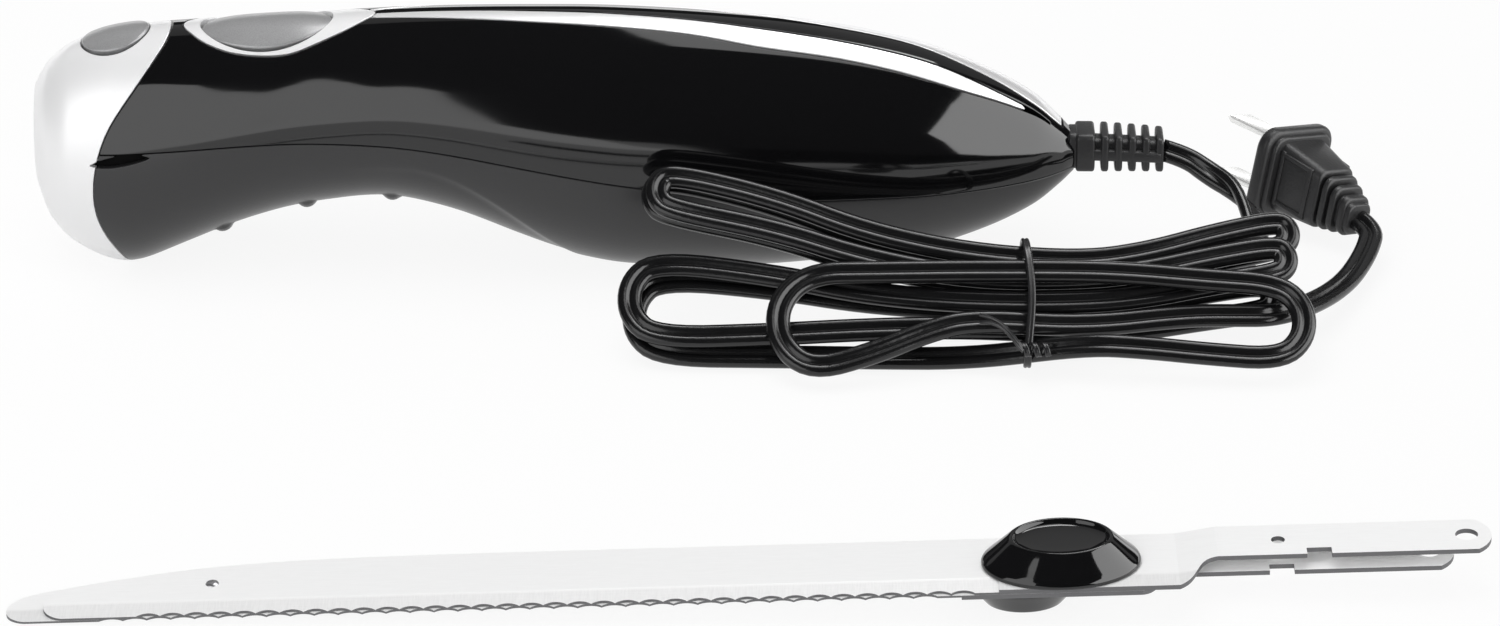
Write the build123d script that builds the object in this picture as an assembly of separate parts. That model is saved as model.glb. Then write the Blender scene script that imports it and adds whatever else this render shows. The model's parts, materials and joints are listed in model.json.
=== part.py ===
from build123d import *
import math
import os

# Electric carving knife with its pair of blades laid in front of it and its flex tied in a hank.
# Millimetres, +X from the nose to the flex, +Y away from the viewer, +Z up, all standing on z = 0.

# Handle
handle_length = 229.0
handle_height = 60.0
handle_half_width = 21.0
wall = 2.2
skin_depth = 1.2
blade_row_gap = 155.0
laid_out_length = 306.8

# Trim, trigger and button
trigger_length = 28.8
trigger_width = 17.6
trigger_stand = 0.5
bezel_half_width = 10.6
button_length = 15.2
button_width = 12.0
button_stand = 0.9
button_travel = 2.0
slide_gap = 0.3

# Mouth that the two tangs go into
mouth_width = 5.2
mouth_height = 14.0
mouth_level = 31.0

# Drive
axis_level = 29.0
shaft_radius = 2.0
worm_radius = 4.2
wheel_radius = 10.6
wheel_tooth_depth = 1.7
wheel_thickness = 7.0
wheel_tooth_count = 28
mesh_gap = 0.2
stroke = 7.0
eccentric_pin_radius = 1.9
axle_radius = 1.3
running_fit = 0.05
press_gap = 0.02
seat_gap = 0.05

# Blades
blade_length = 291.5
blade_width = 20.8
blade_thickness = 1.0
blade_offset = 7.5
blade_gap = 0.05
scallop_pitch = 4.8
scallop_depth = 1.0
tang_width = 12.0
tang_jog = 1.3
hub_length = 32.2
hub_width = 23.0
hub_height = 6.2
blade_slide = 8.0

# Flex
flex_width = 5.3
flex_thickness = 2.7
lead_diameter = 3.6
tie_diameter = 1.6

overrun = 60.0

# Places that follow from the sizes above
handle_start = -laid_out_length / 2
handle_side = (blade_row_gap + hub_width / 2 - handle_half_width) / 2
blade_side = handle_side - blade_row_gap
blade_end = laid_out_length / 2

# Side and plan shares of the housing: station along the length, underside, crest, half width
profile_shares = [
    (0.000, 0.300, 0.690, 0.40),
    (0.004, 0.250, 0.722, 0.50),
    (0.013, 0.160, 0.775, 0.64),
    (0.038, 0.060, 0.852, 0.82),
    (0.083, -0.012, 0.908, 0.90),
    (0.135, 0.066, 0.930, 0.90),
    (0.199, 0.172, 0.943, 0.86),
    (0.262, 0.240, 0.960, 0.82),
    (0.331, 0.270, 0.980, 0.82),
    (0.396, 0.215, 0.990, 0.86),
    (0.460, 0.110, 0.993, 0.92),
    (0.520, 0.025, 0.993, 0.97),
    (0.580, -0.014, 0.985, 1.00),
    (0.693, -0.014, 0.953, 1.00),
    (0.754, 0.005, 0.925, 0.97),
    (0.846, 0.045, 0.850, 0.88),
    (0.908, 0.118, 0.760, 0.72),
    (0.960, 0.215, 0.650, 0.52),
    (0.988, 0.305, 0.545, 0.33),
    (1.000, 0.350, 0.495, 0.21),
]
widest_level_share = 0.42
loft_steps = 22

# Parting line between the housings and rear edge of the nose cap, in side view
split_shares = [
    (-0.10, 0.540),
    (0.055, 0.540),
    (0.110, 0.552),
    (0.245, 0.583),
    (0.367, 0.562),
    (0.445, 0.517),
    (0.528, 0.463),
    (0.590, 0.430),
    (0.712, 0.382),
    (0.800, 0.378),
    (0.908, 0.380),
    (1.10, 0.405),
]
cap_edge_shares = [
    (0.150, 1.05),
    (0.131, 0.933),
    (0.100, 0.833),
    (0.071, 0.683),
    (0.060, 0.550),
    (0.056, 0.463),
    (0.0585, 0.317),
    (0.069, 0.173),
    (0.083, 0.033),
    (0.088, -0.08),
]
recess_station = 18.6
recess_length = 13.2
recess_height = 3.0
recess_level = 32.7

# Teardrop bezel and stripes, in plan: station in mm of the nose, share of a half width
bezel_front = 33.0
bezel_back = 75.5
bezel_shares = [(0.07, 0.58), (0.28, 0.96), (0.45, 1.0), (0.64, 0.82), (0.82, 0.45), (0.94, 0.17)]
stripe_front = 73.5
stripe_back = 225.5
stripe_inner_shares = [
    (0.0, 0.03),
    (0.33, 0.065),
    (0.48, 0.09),
    (0.64, 0.155),
    (0.79, 0.225),
    (0.92, 0.20),
    (1.0, 0.12),
]
stripe_outer_shares = [
    (0.0, 0.075),
    (0.10, 0.17),
    (0.33, 0.225),
    (0.48, 0.255),
    (0.64, 0.32),
    (0.79, 0.385),
    (0.92, 0.33),
    (1.0, 0.15),
]

# Inside the handle, distances from the nose
screw_bite = 9.0
nub_height = 1.0
nub_width = 3.3
nub_half = 9.0
nub_top = 24.0
nub_stations = [41.0, 59.6, 78.3]
trigger_station = 50.7
button_station = 17.9
button_floor = 46.0
trigger_floor = 50.0
screw_stations = [(34.0, 11.0), (196.0, 10.5)]
screw_radius = 1.5
screw_head_radius = 2.8
screw_head_height = 2.0
post_radius = 4.2
bulkhead_thickness = 2.4
front_bearing_station = 111.0
rear_bearing_station = 187.0
bearing_radius = 6.0
bearing_length = 5.0
stator_radius = 16.2
stator_length = 23.0
stator_station = 149.0
stator_bore = 10.0
wheel_station = 92.0
wheel_level = axis_level + worm_radius + wheel_radius + mesh_gap
frame_plate = 2.0
frame_front = 40.0
frame_back = 108.2
yoke_inner = 4.6
yoke_plate = 1.8
yoke_rim = 2.6
relief_side = 8.2
relief_neck = relief_side * 0.35
relief_level = 26.0
guide_back = 20.0
guide_half = 9.0
guide_top = mouth_level + mouth_height / 2 + wall
stem_length = 1.7
latch_front = 19.0
latch_back = 31.0
latch_half = 4.0
latch_thickness = 2.0
spring_radius = 2.4
spring_wire = 0.7
spring_turns = 4
switch_length = 14.0
switch_floor = 41.0
switch_top = 45.0
frame_inner = yoke_inner + yoke_plate + slide_gap
frame_floor = 22.0
frame_floor_thickness = 2.2
fan_station = 121.0
fan_radius = 14.0
fan_length = 8.0
fan_hub_radius = 5.0
fan_blades = 9
fan_plate = 1.0
core_radius = 9.6
core_slots = 10
commutator_station = 174.0
commutator_radius = 5.5
commutator_length = 10.0
commutator_bars = 12
winding_length = 6.0
shaft_front = 82.0
shaft_back = 191.0
worm_front = 84.5
worm_back = 100.0
worm_pitch = 2.4
worm_tooth = 1.1
brush_side = 4.0
holder_wall = 1.4
holder_reach = 16.6
terminal_front = 198.0
terminal_back = 210.0
terminal_half = 5.5
terminal_floor = 12.3
terminal_top = 20.0
holder_front = 58.0
holder_back = 71.0
drive_pin_station = 66.0
drive_hole_radius = 2.3

# Blades, distances from each blade's tip and from its cutting edge
edge_start = 19.0
scallop_count = 35
grind_width = 5.2
grind_depth = 0.55
tip_rounding = 8.0
heel = 228.0
jog_length = 8.0
notch_start = 254.0
notch_length = 5.0
notch_depth = 2.4
latch_hole_station = 248.5
latch_hole_radius = 1.4
drive_hole_station = 286.5
tang_rounding = 3.0
hub_station = 204.6
rivet_station = 33.5
rivet_level = 11.4
rivet_radius = 0.9
rivet_head_radius = 1.35
rivet_head_height = 0.5
spine_shares = [(0.005, 0.39), (0.030, 0.58), (0.072, 0.755), (0.13, 0.90), (0.20, 0.972), (0.34, 1.0)]

# Flex: tied hank on a plane that leans back towards the handle
hank_lean = 35.0
hank_waist = (64.0, 20.5, 1.15)
layer_pitch = 3.4
run_pitch = 5.9
lowest_run = -2.2
climb_length = 24.0
hank_start_reach = 32.5
hank_end_reach = 45.5
hank_exit_rise = 6.5
exit_bend_reach = 40.0

# Lobes in order, left ones at even places: reach, middle and half height up the plane, layer
hank_lobes = [
    (81.0, 32.0, 4.5, 1),
    (57.0, 28.0, 3.4, 1),
    (80.0, 32.0, 4.5, 2),
    (56.0, 20.0, 3.4, 2),
    (86.0, 10.4, 9.4, 2),
    (53.0, 12.6, 3.4, 1),
    (85.0, 8.0, 9.5, 1),
    (59.0, 3.25, 9.05, 3),
    (54.0, 3.2, 11.8, 3),
]
run_places = [3, 2, 3, 2, 1, 0, 1, -1, 2, 0]
end_layers = (0, 2)

relief_end = handle_start + handle_length + 19.8
lead_route = [
    (relief_end, handle_side, relief_level),
    (101.4, handle_side, relief_level),
    (107.4, 69.8, 23.9),
    (112.6, 64.2, 20.8),
    (115.9, 57.2, 17.9),
    (116.5, 50.2, 15.7),
    (114.1, 43.7, 14.2),
    (109.3, 39.5, 13.4),
]
tail_route = [
    (123.0, 23.4, 10.2),
    (129.2, 28.6, 8.8),
    (133.8, 36.4, 7.2),
    (137.2, 45.0, 6.6),
    (140.6, 53.2, 7.4),
    (143.4, 61.0, 9.3),
]
square_run = 6.2

# Plug, distances from where the flex enters
plug_place = (139.0, 73.2, 10.7)
plug_heading = (-0.656, 0.755, 0.0)
rib_zone = 7.0
body_end = 19.5
panel_depth = 1.0
flange_thickness = 3.4
flange_width = 22.4
flange_height = 21.0
flange_rounding = 4.0
prong_length = 17.0
prong_width = 6.4
prong_thickness = 1.6
prong_spacing = 12.7
relief_collar = 4.6
relief_ribs = 5
tie_corners = [
    (25.3, -1.2),
    (25.3, 8.2),
    (19.2, 13.1),
    (-0.5, 12.0),
    (-6.2, 9.8),
    (-6.0, 4.6),
    (0.6, 1.4),
    (14.0, -0.5),
]


def smooth_value(where, column):
    """Value of one column of the profile at a station, with no overshoot between the rows."""
    rows = profile_shares
    index = 0
    while index < len(rows) - 2 and where > rows[index + 1][0]:
        index += 1
    slopes = []
    for spot in (index, index + 1):
        if spot in (0, len(rows) - 1):
            low, high = (0, 1) if spot == 0 else (spot - 1, spot)
            slopes.append((rows[high][column] - rows[low][column]) / (rows[high][0] - rows[low][0]))
            continue
        before = (rows[spot][column] - rows[spot - 1][column]) / (rows[spot][0] - rows[spot - 1][0])
        after = (rows[spot + 1][column] - rows[spot][column]) / (rows[spot + 1][0] - rows[spot][0])
        slopes.append(0.0 if before * after <= 0 else 2 * before * after / (before + after))
    span = rows[index + 1][0] - rows[index][0]
    part = (where - rows[index][0]) / span
    return (
        (2 * part**3 - 3 * part**2 + 1) * rows[index][column]
        + (part**3 - 2 * part**2 + part) * span * slopes[0]
        + (3 * part**2 - 2 * part**3) * rows[index + 1][column]
        + (part**3 - part**2) * span * slopes[1]
    )


def handle_section(where, growth):
    """Egg-shaped cross-section of the handle at a station, larger or smaller by a margin."""
    low = smooth_value(where, 1) * handle_height
    high = smooth_value(where, 2) * handle_height
    half = smooth_value(where, 3) * handle_half_width + growth
    middle = low + widest_level_share * (high - low)
    rise = high - middle + growth
    drop = middle - low + growth
    place = Plane(
        origin=(handle_start + where * handle_length, handle_side, middle),
        x_dir=(0, 1, 0),
        z_dir=(1, 0, 0),
    )
    outline = []
    for quarter in range(4):
        height = rise if quarter < 2 else drop
        outline.append(EllipticalCenterArc((0, 0), half, height, quarter * 90, arc_size=90))
    return place * make_face(Wire(outline))


def handle_form(growth, first=0.0, last=1.0):
    """Solid of the handle's form between two stations."""
    stations = []
    for step in range(loft_steps + 1):
        sweep_share = 0.5 - 0.5 * math.cos(math.pi * step / loft_steps)
        stations.append(first + (last - first) * sweep_share)
    return loft([handle_section(where, growth) for where in stations])


def at(station):
    """X of a distance from the nose."""
    return handle_start + station


def block(x_low, x_high, y_low, y_high, z_low, z_high):
    """Box between two corners."""
    size = (x_high - x_low, y_high - y_low, z_high - z_low)
    centre = ((x_low + x_high) / 2, (y_low + y_high) / 2, (z_low + z_high) / 2)
    return Pos(*centre) * Box(*size)


def inner_block(x_low, x_high, y_low, y_high, z_low, z_high):
    """Box from distances from the nose and from the handle's middle plane."""
    return block(at(x_low), at(x_high), handle_side + y_low, handle_side + y_high, z_low, z_high)


def upright(station, offset, low, high, radius):
    """Upright round bar from a level to a level."""
    return Pos(at(station), handle_side + offset, (low + high) / 2) * Cylinder(radius, high - low)


def side_prism(points_curve):
    """Region drawn in side view, through the whole width of the handle."""
    return Pos(0, handle_side, 0) * extrude(Plane.XZ * make_face(points_curve), overrun, both=True)


def plan_oval(station, length, width, low, high):
    """Upright oval column, drawn in plan."""
    column = extrude(Ellipse(length / 2, width / 2), high - low)
    return Pos(at(station), handle_side, low) * column


def rod(x_low, x_high, radius, y=0.0, z=axis_level):
    """Round bar along X."""
    bar = Rot(0, 90, 0) * Cylinder(radius, x_high - x_low)
    return Pos((x_low + x_high) / 2, handle_side + y, z) * bar


def cross_pin(station, level, radius, y_low, y_high):
    """Round pin along Y."""
    pin = Rot(90, 0, 0) * Cylinder(radius, y_high - y_low)
    return Pos(at(station), handle_side + (y_low + y_high) / 2, level) * pin


def side_points(shares):
    return [(handle_start + a * handle_length, b * handle_height) for a, b in shares]


def above_split():
    """Everything above the parting line."""
    points = side_points(split_shares)
    top = handle_height + overrun
    edge = Spline(*points)
    rim = Polyline(points[-1], (points[-1][0], top), (points[0][0], top), points[0])
    return side_prism([edge, rim])


def ahead_of_cap_edge():
    """Everything that belongs to the nose cap."""
    points = side_points(cap_edge_shares)
    front = handle_start - overrun / 2
    edge = Spline(*points)
    rim = Polyline(points[-1], (front, points[-1][1]), (front, points[0][1]), points[0])
    return side_prism([edge, rim])


def side_recess():
    """Almond that opens the parting line behind the nose cap."""
    left = (at(recess_station - recess_length / 2), recess_level)
    right = (at(recess_station + recess_length / 2), recess_level + recess_height / 4)
    crown = (at(recess_station - recess_length / 8), recess_level + recess_height / 2)
    keel = (at(recess_station - recess_length / 8), recess_level - recess_height / 2)
    return side_prism([ThreePointArc(left, crown, right), ThreePointArc(right, keel, left)])


def bezel_zone():
    """Teardrop column that holds the bezel."""
    span = bezel_back - bezel_front
    near = [(at(bezel_front + a * span), handle_side - b * bezel_half_width) for a, b in bezel_shares]
    far = [(at(bezel_front + a * span), handle_side + b * bezel_half_width) for a, b in bezel_shares]
    front = (at(bezel_front), handle_side)
    back = (at(bezel_back), handle_side)
    outline = make_face([Spline(back, *reversed(near), front, *far, back)])
    return Pos(0, 0, handle_height / 2) * extrude(outline, handle_height)


def stripe_zone(side):
    """Column over one stripe; side is -1 near the viewer and 1 away."""
    span = stripe_back - stripe_front
    reach = handle_half_width * side
    inner = [(at(stripe_front + a * span), handle_side + b * reach) for a, b in stripe_inner_shares]
    outer = [(at(stripe_front + a * span), handle_side + b * reach) for a, b in stripe_outer_shares]
    sides = [Spline(*inner), Line(inner[-1], outer[-1]), Spline(*reversed(outer)), Line(outer[0], inner[0])]
    outline = make_face(sides)
    return Pos(0, 0, handle_height * 0.45) * extrude(outline, handle_height)


def screw_places():
    return [(station, side * offset) for station, offset in screw_stations for side in (-1, 1)]


def split_level(station):
    """Height of the parting line at a distance from the nose."""
    rows = side_points(split_shares)
    for (x_a, z_a), (x_b, z_b) in zip(rows, rows[1:]):
        if x_a <= at(station) <= x_b:
            return z_a + (z_b - z_a) * (at(station) - x_a) / (x_b - x_a)
    return axis_level


def bulkhead(station, radius, cavity):
    """Rib across the cavity with a round seat on the motor axis."""
    half = bulkhead_thickness / 2
    slab = inner_block(station - half, station + half, -overrun, overrun, -overrun, overrun * 2)
    return (slab & cavity) - rod(at(station) - overrun, at(station) + overrun, radius + seat_gap)


def make_housing():
    """Upper housing, lower housing, nose cap, bezel and stripes."""
    outer = handle_form(0.0) - inner_block(-overrun, handle_length + overrun, -overrun, overrun, -overrun, 0)
    cavity = handle_form(-wall, 0.018, 0.962)
    core = handle_form(-skin_depth, 0.006, 0.99)
    skin = outer - core
    shell = outer - cavity
    above = above_split()
    ahead = ahead_of_cap_edge()
    recess = side_recess() & skin

    # Nose cap with the block that guides the tangs
    mouth_low = mouth_level - mouth_height / 2
    mouth_top = mouth_level + mouth_height / 2
    guide = inner_block(0, guide_back, -guide_half, guide_half, mouth_low - wall, guide_top)
    mouth = inner_block(-overrun, guide_back + wall, -mouth_width / 2, mouth_width / 2, mouth_low, mouth_top)
    button_hole = plan_oval(button_station, button_length, button_width, button_floor - wall, handle_height)
    cap_body = (shell & ahead) + ((guide & cavity) & ahead)
    nose_cap = cap_body - mouth - button_hole - recess

    # Housings
    hole_top = handle_height + overrun
    trigger_hole = plan_oval(trigger_station, trigger_length, trigger_width, trigger_floor - wall, hole_top)
    rest = shell - ahead
    bezel_space = bezel_zone() & skin
    bezel = bezel_space - trigger_hole
    stripes = {side: stripe_zone(side) & skin - bezel_space for side in (-1, 1)}
    upper = (rest & above) - bezel_space - trigger_hole - recess
    lower = (rest - above) - recess
    for stripe in stripes.values():
        upper = upper - stripe

    seats = [(front_bearing_station, bearing_radius), (rear_bearing_station, bearing_radius)]
    for offset in (-stator_length / 4, stator_length / 4):
        seats.append((stator_station + offset, stator_radius))
    ribs = [bulkhead(station, radius, cavity) for station, radius in seats]
    for rib in ribs:
        upper = upper + (rib & above)
        lower = lower + (rib - above)
    for station, offset in screw_places():
        post = Pos(at(station), handle_side + offset, 0) * Cylinder(post_radius, overrun * 3)
        post = (post & cavity) - ahead
        upper = upper + (post & above)
        lower = lower + (post - above)
        level = split_level(station)
        head_level = level - screw_bite
        bore = upright(station, offset, head_level, level + screw_bite, screw_radius + press_gap)
        head = upright(station, offset, head_level - overrun, head_level, screw_head_radius + press_gap)
        upper = upper - bore
        lower = lower - bore - head
    tail_bore = inner_block(
        handle_length - relief_side, handle_length + overrun,
        -relief_neck, relief_neck, relief_level - relief_neck, relief_level + relief_neck,
    )
    upper = upper - tail_bore
    lower = lower - tail_bore

    # Grip nubs under the finger scoop
    grown = handle_form(nub_height, 0.01, 0.99)
    for station in nub_stations:
        bar = inner_block(station - nub_width / 2, station + nub_width / 2, -nub_half, nub_half, 0, nub_top)
        lower = lower + ((bar & grown) - core)
    return upper, lower, nose_cap, bezel, stripes


def spring(station, low, high):
    """Coil spring standing upright between two levels."""
    rise = high - low - spring_wire
    path = Pos(at(station), handle_side, low + spring_wire / 2) * Helix(rise / spring_turns, rise, spring_radius)
    start = Plane(origin=path @ 0, z_dir=path % 0)
    return sweep(start * RegularPolygon(spring_wire / 2, 6), path=path, is_frenet=True)


def make_controls():
    """Trigger and release button with what they work on."""
    grown_trigger = handle_form(trigger_stand, 0.01, 0.99)
    grown_button = handle_form(button_stand, 0.002, 0.9)
    fit = slide_gap * 2
    column_top = handle_height + overrun
    pad = plan_oval(trigger_station, trigger_length - fit, trigger_width - fit, trigger_floor, column_top)
    stem = upright(trigger_station, 0, trigger_floor - stem_length, trigger_floor, spring_radius / 2)
    trigger = (pad & grown_trigger) + stem
    cap = plan_oval(button_station, button_length - fit, button_width - fit, button_floor, column_top)
    button = cap & grown_button
    latch_top = button_floor - latch_thickness
    hook_level = mouth_level + tang_width / 2 + button_travel + slide_gap
    latch = inner_block(latch_front, latch_back, -latch_half, latch_half, latch_top, button_floor)
    latch += inner_block(latch_back - latch_thickness, latch_back, -latch_half, latch_half, hook_level, latch_top)
    release_spring = spring(button_station - button_length * 0.2, guide_top, button_floor)
    switch_half = frame_inner + frame_plate
    switch = inner_block(
        trigger_station - switch_length / 2, trigger_station + switch_length / 2,
        -switch_half, switch_half, switch_floor, switch_top,
    )
    trigger_spring = spring(trigger_station, switch_top, trigger_floor)
    return {
        "power_trigger": trigger,
        "release_button": button,
        "latch_plate": latch,
        "release_spring": release_spring,
        "switch_body": switch,
        "trigger_spring": trigger_spring,
    }


def ring(x_low, x_high, outer, inner):
    """Round tube on the motor axis."""
    return rod(at(x_low), at(x_high), outer) - rod(at(x_low - wall), at(x_high + wall), inner)


def around_axis(shape, count):
    """Copies of a shape about the motor axis."""
    centre = Pos(0, handle_side, axis_level)
    back = centre.inverse()
    return [centre * Rot(360 * turn / count, 0, 0) * back * shape for turn in range(count)]


def make_worm():
    """Single-start worm on the end of the motor shaft."""
    length = worm_back - worm_front
    root = worm_radius - worm_tooth
    turns_length = length - 2 * worm_tooth
    path = Helix(worm_pitch, turns_length - worm_pitch, root)
    start = Plane(origin=path @ 0, x_dir=(1, 0, 0), z_dir=path % 0)
    flank = worm_pitch * 0.3
    crest = worm_pitch * 0.14
    low = -worm_tooth / 4
    corners = [(low, -flank), (worm_tooth, -crest), (worm_tooth, crest), (low, flank)]
    tooth = start * make_face(Polyline(*corners, close=True))
    thread = sweep(tooth, path=path, is_frenet=True)
    thread = Pos(0, 0, worm_tooth + worm_pitch / 2) * thread
    core = Pos(0, 0, length / 2) * Cylinder(root, length)
    bore = Pos(0, 0, length / 2) * Cylinder(shaft_radius + press_gap, length * 2)
    return Pos(at(worm_front), handle_side, axis_level) * Rot(0, 90, 0) * (core + thread - bore)


def make_wheel():
    """Worm wheel with an eccentric pin on each face, half a turn apart."""
    points = []
    root = wheel_radius - wheel_tooth_depth
    pitch_angle = 2 * math.pi / wheel_tooth_count
    for tooth in range(wheel_tooth_count):
        for share, radius in ((-0.27, root), (-0.12, wheel_radius), (0.12, wheel_radius), (0.27, root)):
            angle = (tooth + share) * pitch_angle
            points.append((radius * math.cos(angle), radius * math.sin(angle)))
    disc = extrude(Plane.XZ * make_face(Polyline(*points, close=True)), wheel_thickness / 2, both=True)
    wheel = Pos(at(wheel_station), handle_side, wheel_level) * disc
    bore_radius = axle_radius + running_fit
    wheel -= cross_pin(wheel_station, wheel_level, bore_radius, -wheel_thickness, wheel_thickness)
    for side in (-1, 1):
        low, high = sorted((side * wheel_thickness / 2, side * (yoke_inner + yoke_plate)))
        wheel += cross_pin(wheel_station, wheel_level - side * stroke / 2, eccentric_pin_radius, low, high)
    return wheel


def make_driver(side):
    """Reciprocating blade driver: an open yoke round the eccentric pin and a holder for one tang."""
    def plate(x_low, x_high, near, far, z_low, z_high):
        low, high = sorted((side * near, side * far))
        return inner_block(x_low, x_high, low, high, z_low, z_high)

    window_half = stroke + eccentric_pin_radius + slide_gap
    window_rise = stroke / 2 + eccentric_pin_radius + slide_gap
    outer = yoke_inner + yoke_plate
    half = window_half + yoke_rim
    rise = window_rise + yoke_rim
    x_spread = (wheel_station - half, wheel_station + half)
    driver = plate(*x_spread, yoke_inner, outer, wheel_level - rise, wheel_level + rise)
    arm_back = wheel_station - window_half
    window_back = wheel_station + window_half
    driver -= plate(arm_back, window_back, 0, outer * 2, wheel_level - window_rise, wheel_level + window_rise)
    arm_low = mouth_level - tang_width / 3
    driver += plate(holder_front, arm_back, yoke_inner, outer, arm_low, wheel_level - window_rise)
    holder_near = blade_gap / 2 + blade_thickness + tang_jog + slide_gap
    driver += plate(holder_front, holder_back, holder_near, outer, arm_low, mouth_level + tang_width / 3)
    pin_start = holder_near - blade_thickness - slide_gap
    pin_ends = sorted((side * pin_start, side * (holder_near + slide_gap)))
    driver += cross_pin(drive_pin_station, mouth_level, drive_hole_radius - slide_gap / 2, *pin_ends)
    return driver


def brush_bar(half, y_low, y_high):
    """Square bar across the commutator."""
    x_ends = (commutator_station - half, commutator_station + half)
    return inner_block(*x_ends, y_low, y_high, axis_level - half, axis_level + half)


def make_drive():
    """Motor, gearing and drivers."""
    nodes = {}
    nodes["motor_shaft"] = rod(at(shaft_front), at(shaft_back), shaft_radius)
    nodes["worm"] = make_worm()
    nodes["worm_wheel"] = make_wheel()
    nodes["wheel_axle"] = cross_pin(
        wheel_station, wheel_level, axle_radius, -frame_inner - frame_plate, frame_inner + frame_plate
    )
    nodes["blade_driver_near"] = make_driver(-1)
    nodes["blade_driver_far"] = make_driver(1)

    frame = None
    for side in (-1, 1):
        low, high = sorted((side * frame_inner, side * (frame_inner + frame_plate)))
        wall_low = inner_block(frame_front, frame_back, low, high, frame_floor, switch_floor)
        cheek_half = wheel_radius * 0.8
        cheek_ends = (wheel_station - cheek_half, wheel_station + cheek_half)
        cheek = inner_block(*cheek_ends, low, high, frame_floor, wheel_level + axle_radius * 3)
        frame = wall_low + cheek if frame is None else frame + wall_low + cheek
    floor_top = frame_floor + frame_floor_thickness
    frame += inner_block(frame_front, frame_back, -frame_inner, frame_inner, frame_floor, floor_top)
    frame -= cross_pin(wheel_station, wheel_level, axle_radius + press_gap, -overrun, overrun)
    nodes["gear_frame"] = frame

    for name, station in (("front_bearing", front_bearing_station), ("rear_bearing", rear_bearing_station)):
        half = bearing_length / 2
        nodes[name] = ring(station - half, station + half, bearing_radius, shaft_radius + running_fit)

    half = stator_length / 2
    stator = ring(stator_station - half, stator_station + half, stator_radius, stator_bore)
    nodes["stator_core"] = stator
    coils = []
    bells = []
    for side in (-1, 1):
        near = stator_station + side * (half + press_gap)
        far = near + side * winding_length
        low, high = sorted((near, far))
        coils.append(ring(low, high, (stator_radius + stator_bore) / 2 + wall / 2, stator_bore + wall / 4))
        bell = ring(low, high, core_radius - wall / 2, shaft_radius + press_gap)
        bells.append(bell)
    nodes["field_coils"] = Compound(coils)
    nodes["armature_windings"] = Compound(bells)

    core = ring(stator_station - half, stator_station + half, core_radius, shaft_radius + press_gap)
    slot = inner_block(
        stator_station - half * 2, stator_station + half * 2, -core_radius / 12, core_radius / 12,
        axis_level + core_radius * 0.62, axis_level + core_radius * 2,
    )
    for cutter in around_axis(slot, core_slots):
        core -= cutter
    nodes["armature_core"] = core

    reach = commutator_length / 2
    on_shaft = shaft_radius + press_gap
    commutator = ring(commutator_station - reach, commutator_station + reach, commutator_radius, on_shaft)
    groove = inner_block(
        commutator_station - reach * 2, commutator_station + reach * 2,
        -commutator_radius / 24, commutator_radius / 24,
        axis_level + commutator_radius * 0.86, axis_level + commutator_radius * 2,
    )
    for cutter in around_axis(groove, commutator_bars):
        commutator -= cutter
    nodes["commutator"] = commutator

    fan_front = fan_station - fan_length / 2
    fan_back = fan_station + fan_length / 2
    fan = ring(fan_front, fan_back, fan_hub_radius, on_shaft)
    fan += ring(fan_back - fan_plate, fan_back, fan_radius, fan_hub_radius / 2)
    vane = inner_block(
        fan_front, fan_back, -fan_plate / 2, fan_plate / 2,
        axis_level + fan_hub_radius * 0.8, axis_level + fan_radius,
    )
    for copy in around_axis(vane, fan_blades):
        fan += copy
    nodes["cooling_fan"] = fan

    holders = []
    brushes = []
    for side in (-1, 1):
        tube_half = brush_side / 2 + holder_wall
        low, high = sorted((side * (commutator_radius + wall), side * holder_reach))
        tube = brush_bar(tube_half, low, high)
        well = brush_bar(brush_side / 2 + seat_gap, -overrun, overrun)
        holders.append(tube - well)
        low, high = sorted((side * (commutator_radius + running_fit), side * holder_reach * 0.75))
        brushes.append(brush_bar(brush_side / 2, low, high))
    nodes["brush_holders"] = Compound(holders)
    nodes["carbon_brushes"] = Compound(brushes)
    nodes["terminal_block"] = inner_block(
        terminal_front, terminal_back, -terminal_half, terminal_half, terminal_floor, terminal_top
    )
    screws = []
    for station, offset in screw_places():
        level = split_level(station)
        head_level = level - screw_bite
        shank = upright(station, offset, head_level, level + screw_bite, screw_radius)
        head = upright(station, offset, head_level - screw_head_height, head_level, screw_head_radius)
        screws.append(shank + head)
    nodes["housing_screws"] = Compound(screws)
    return nodes


def blade_outline():
    """Plan of one blade: scalloped edge, rounded tip, spine and tang."""
    parts = []
    spot = edge_start
    for _ in range(scallop_count):
        after = spot + scallop_pitch
        parts.append(ThreePointArc((spot, 0), ((spot + after) / 2, scallop_depth), (after, 0)))
        spot = after
    spine = [(a * blade_length, b * blade_width) for a, b in spine_shares]
    tang_low = blade_width - tang_width
    tang_start = heel + jog_length
    parts.append(Line((spot, 0), (heel, 0)))
    sweep_up = [(heel, 0), ((heel + tang_start) / 2, tang_low * 0.62), (tang_start, tang_low)]
    parts.append(Spline(*sweep_up, tangents=[(1, 0.4), (1, 0)]))
    middle = blade_width - tang_width / 2
    round_start = blade_length - tang_rounding
    parts.append(Line((tang_start, tang_low), (round_start, tang_low)))
    parts.append(ThreePointArc((round_start, tang_low), (blade_length, middle), (round_start, blade_width)))
    parts.append(Line((round_start, blade_width), spine[-1]))
    parts.append(Spline(*reversed(spine), tangents=[(-1, 0), (-0.55, -1)]))
    parts.append(ThreePointArc(spine[0], (0, tip_rounding / 2), (tip_rounding / 2, 0)))
    parts.append(Line((tip_rounding / 2, 0), (edge_start, 0)))
    return make_face(parts)


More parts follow.
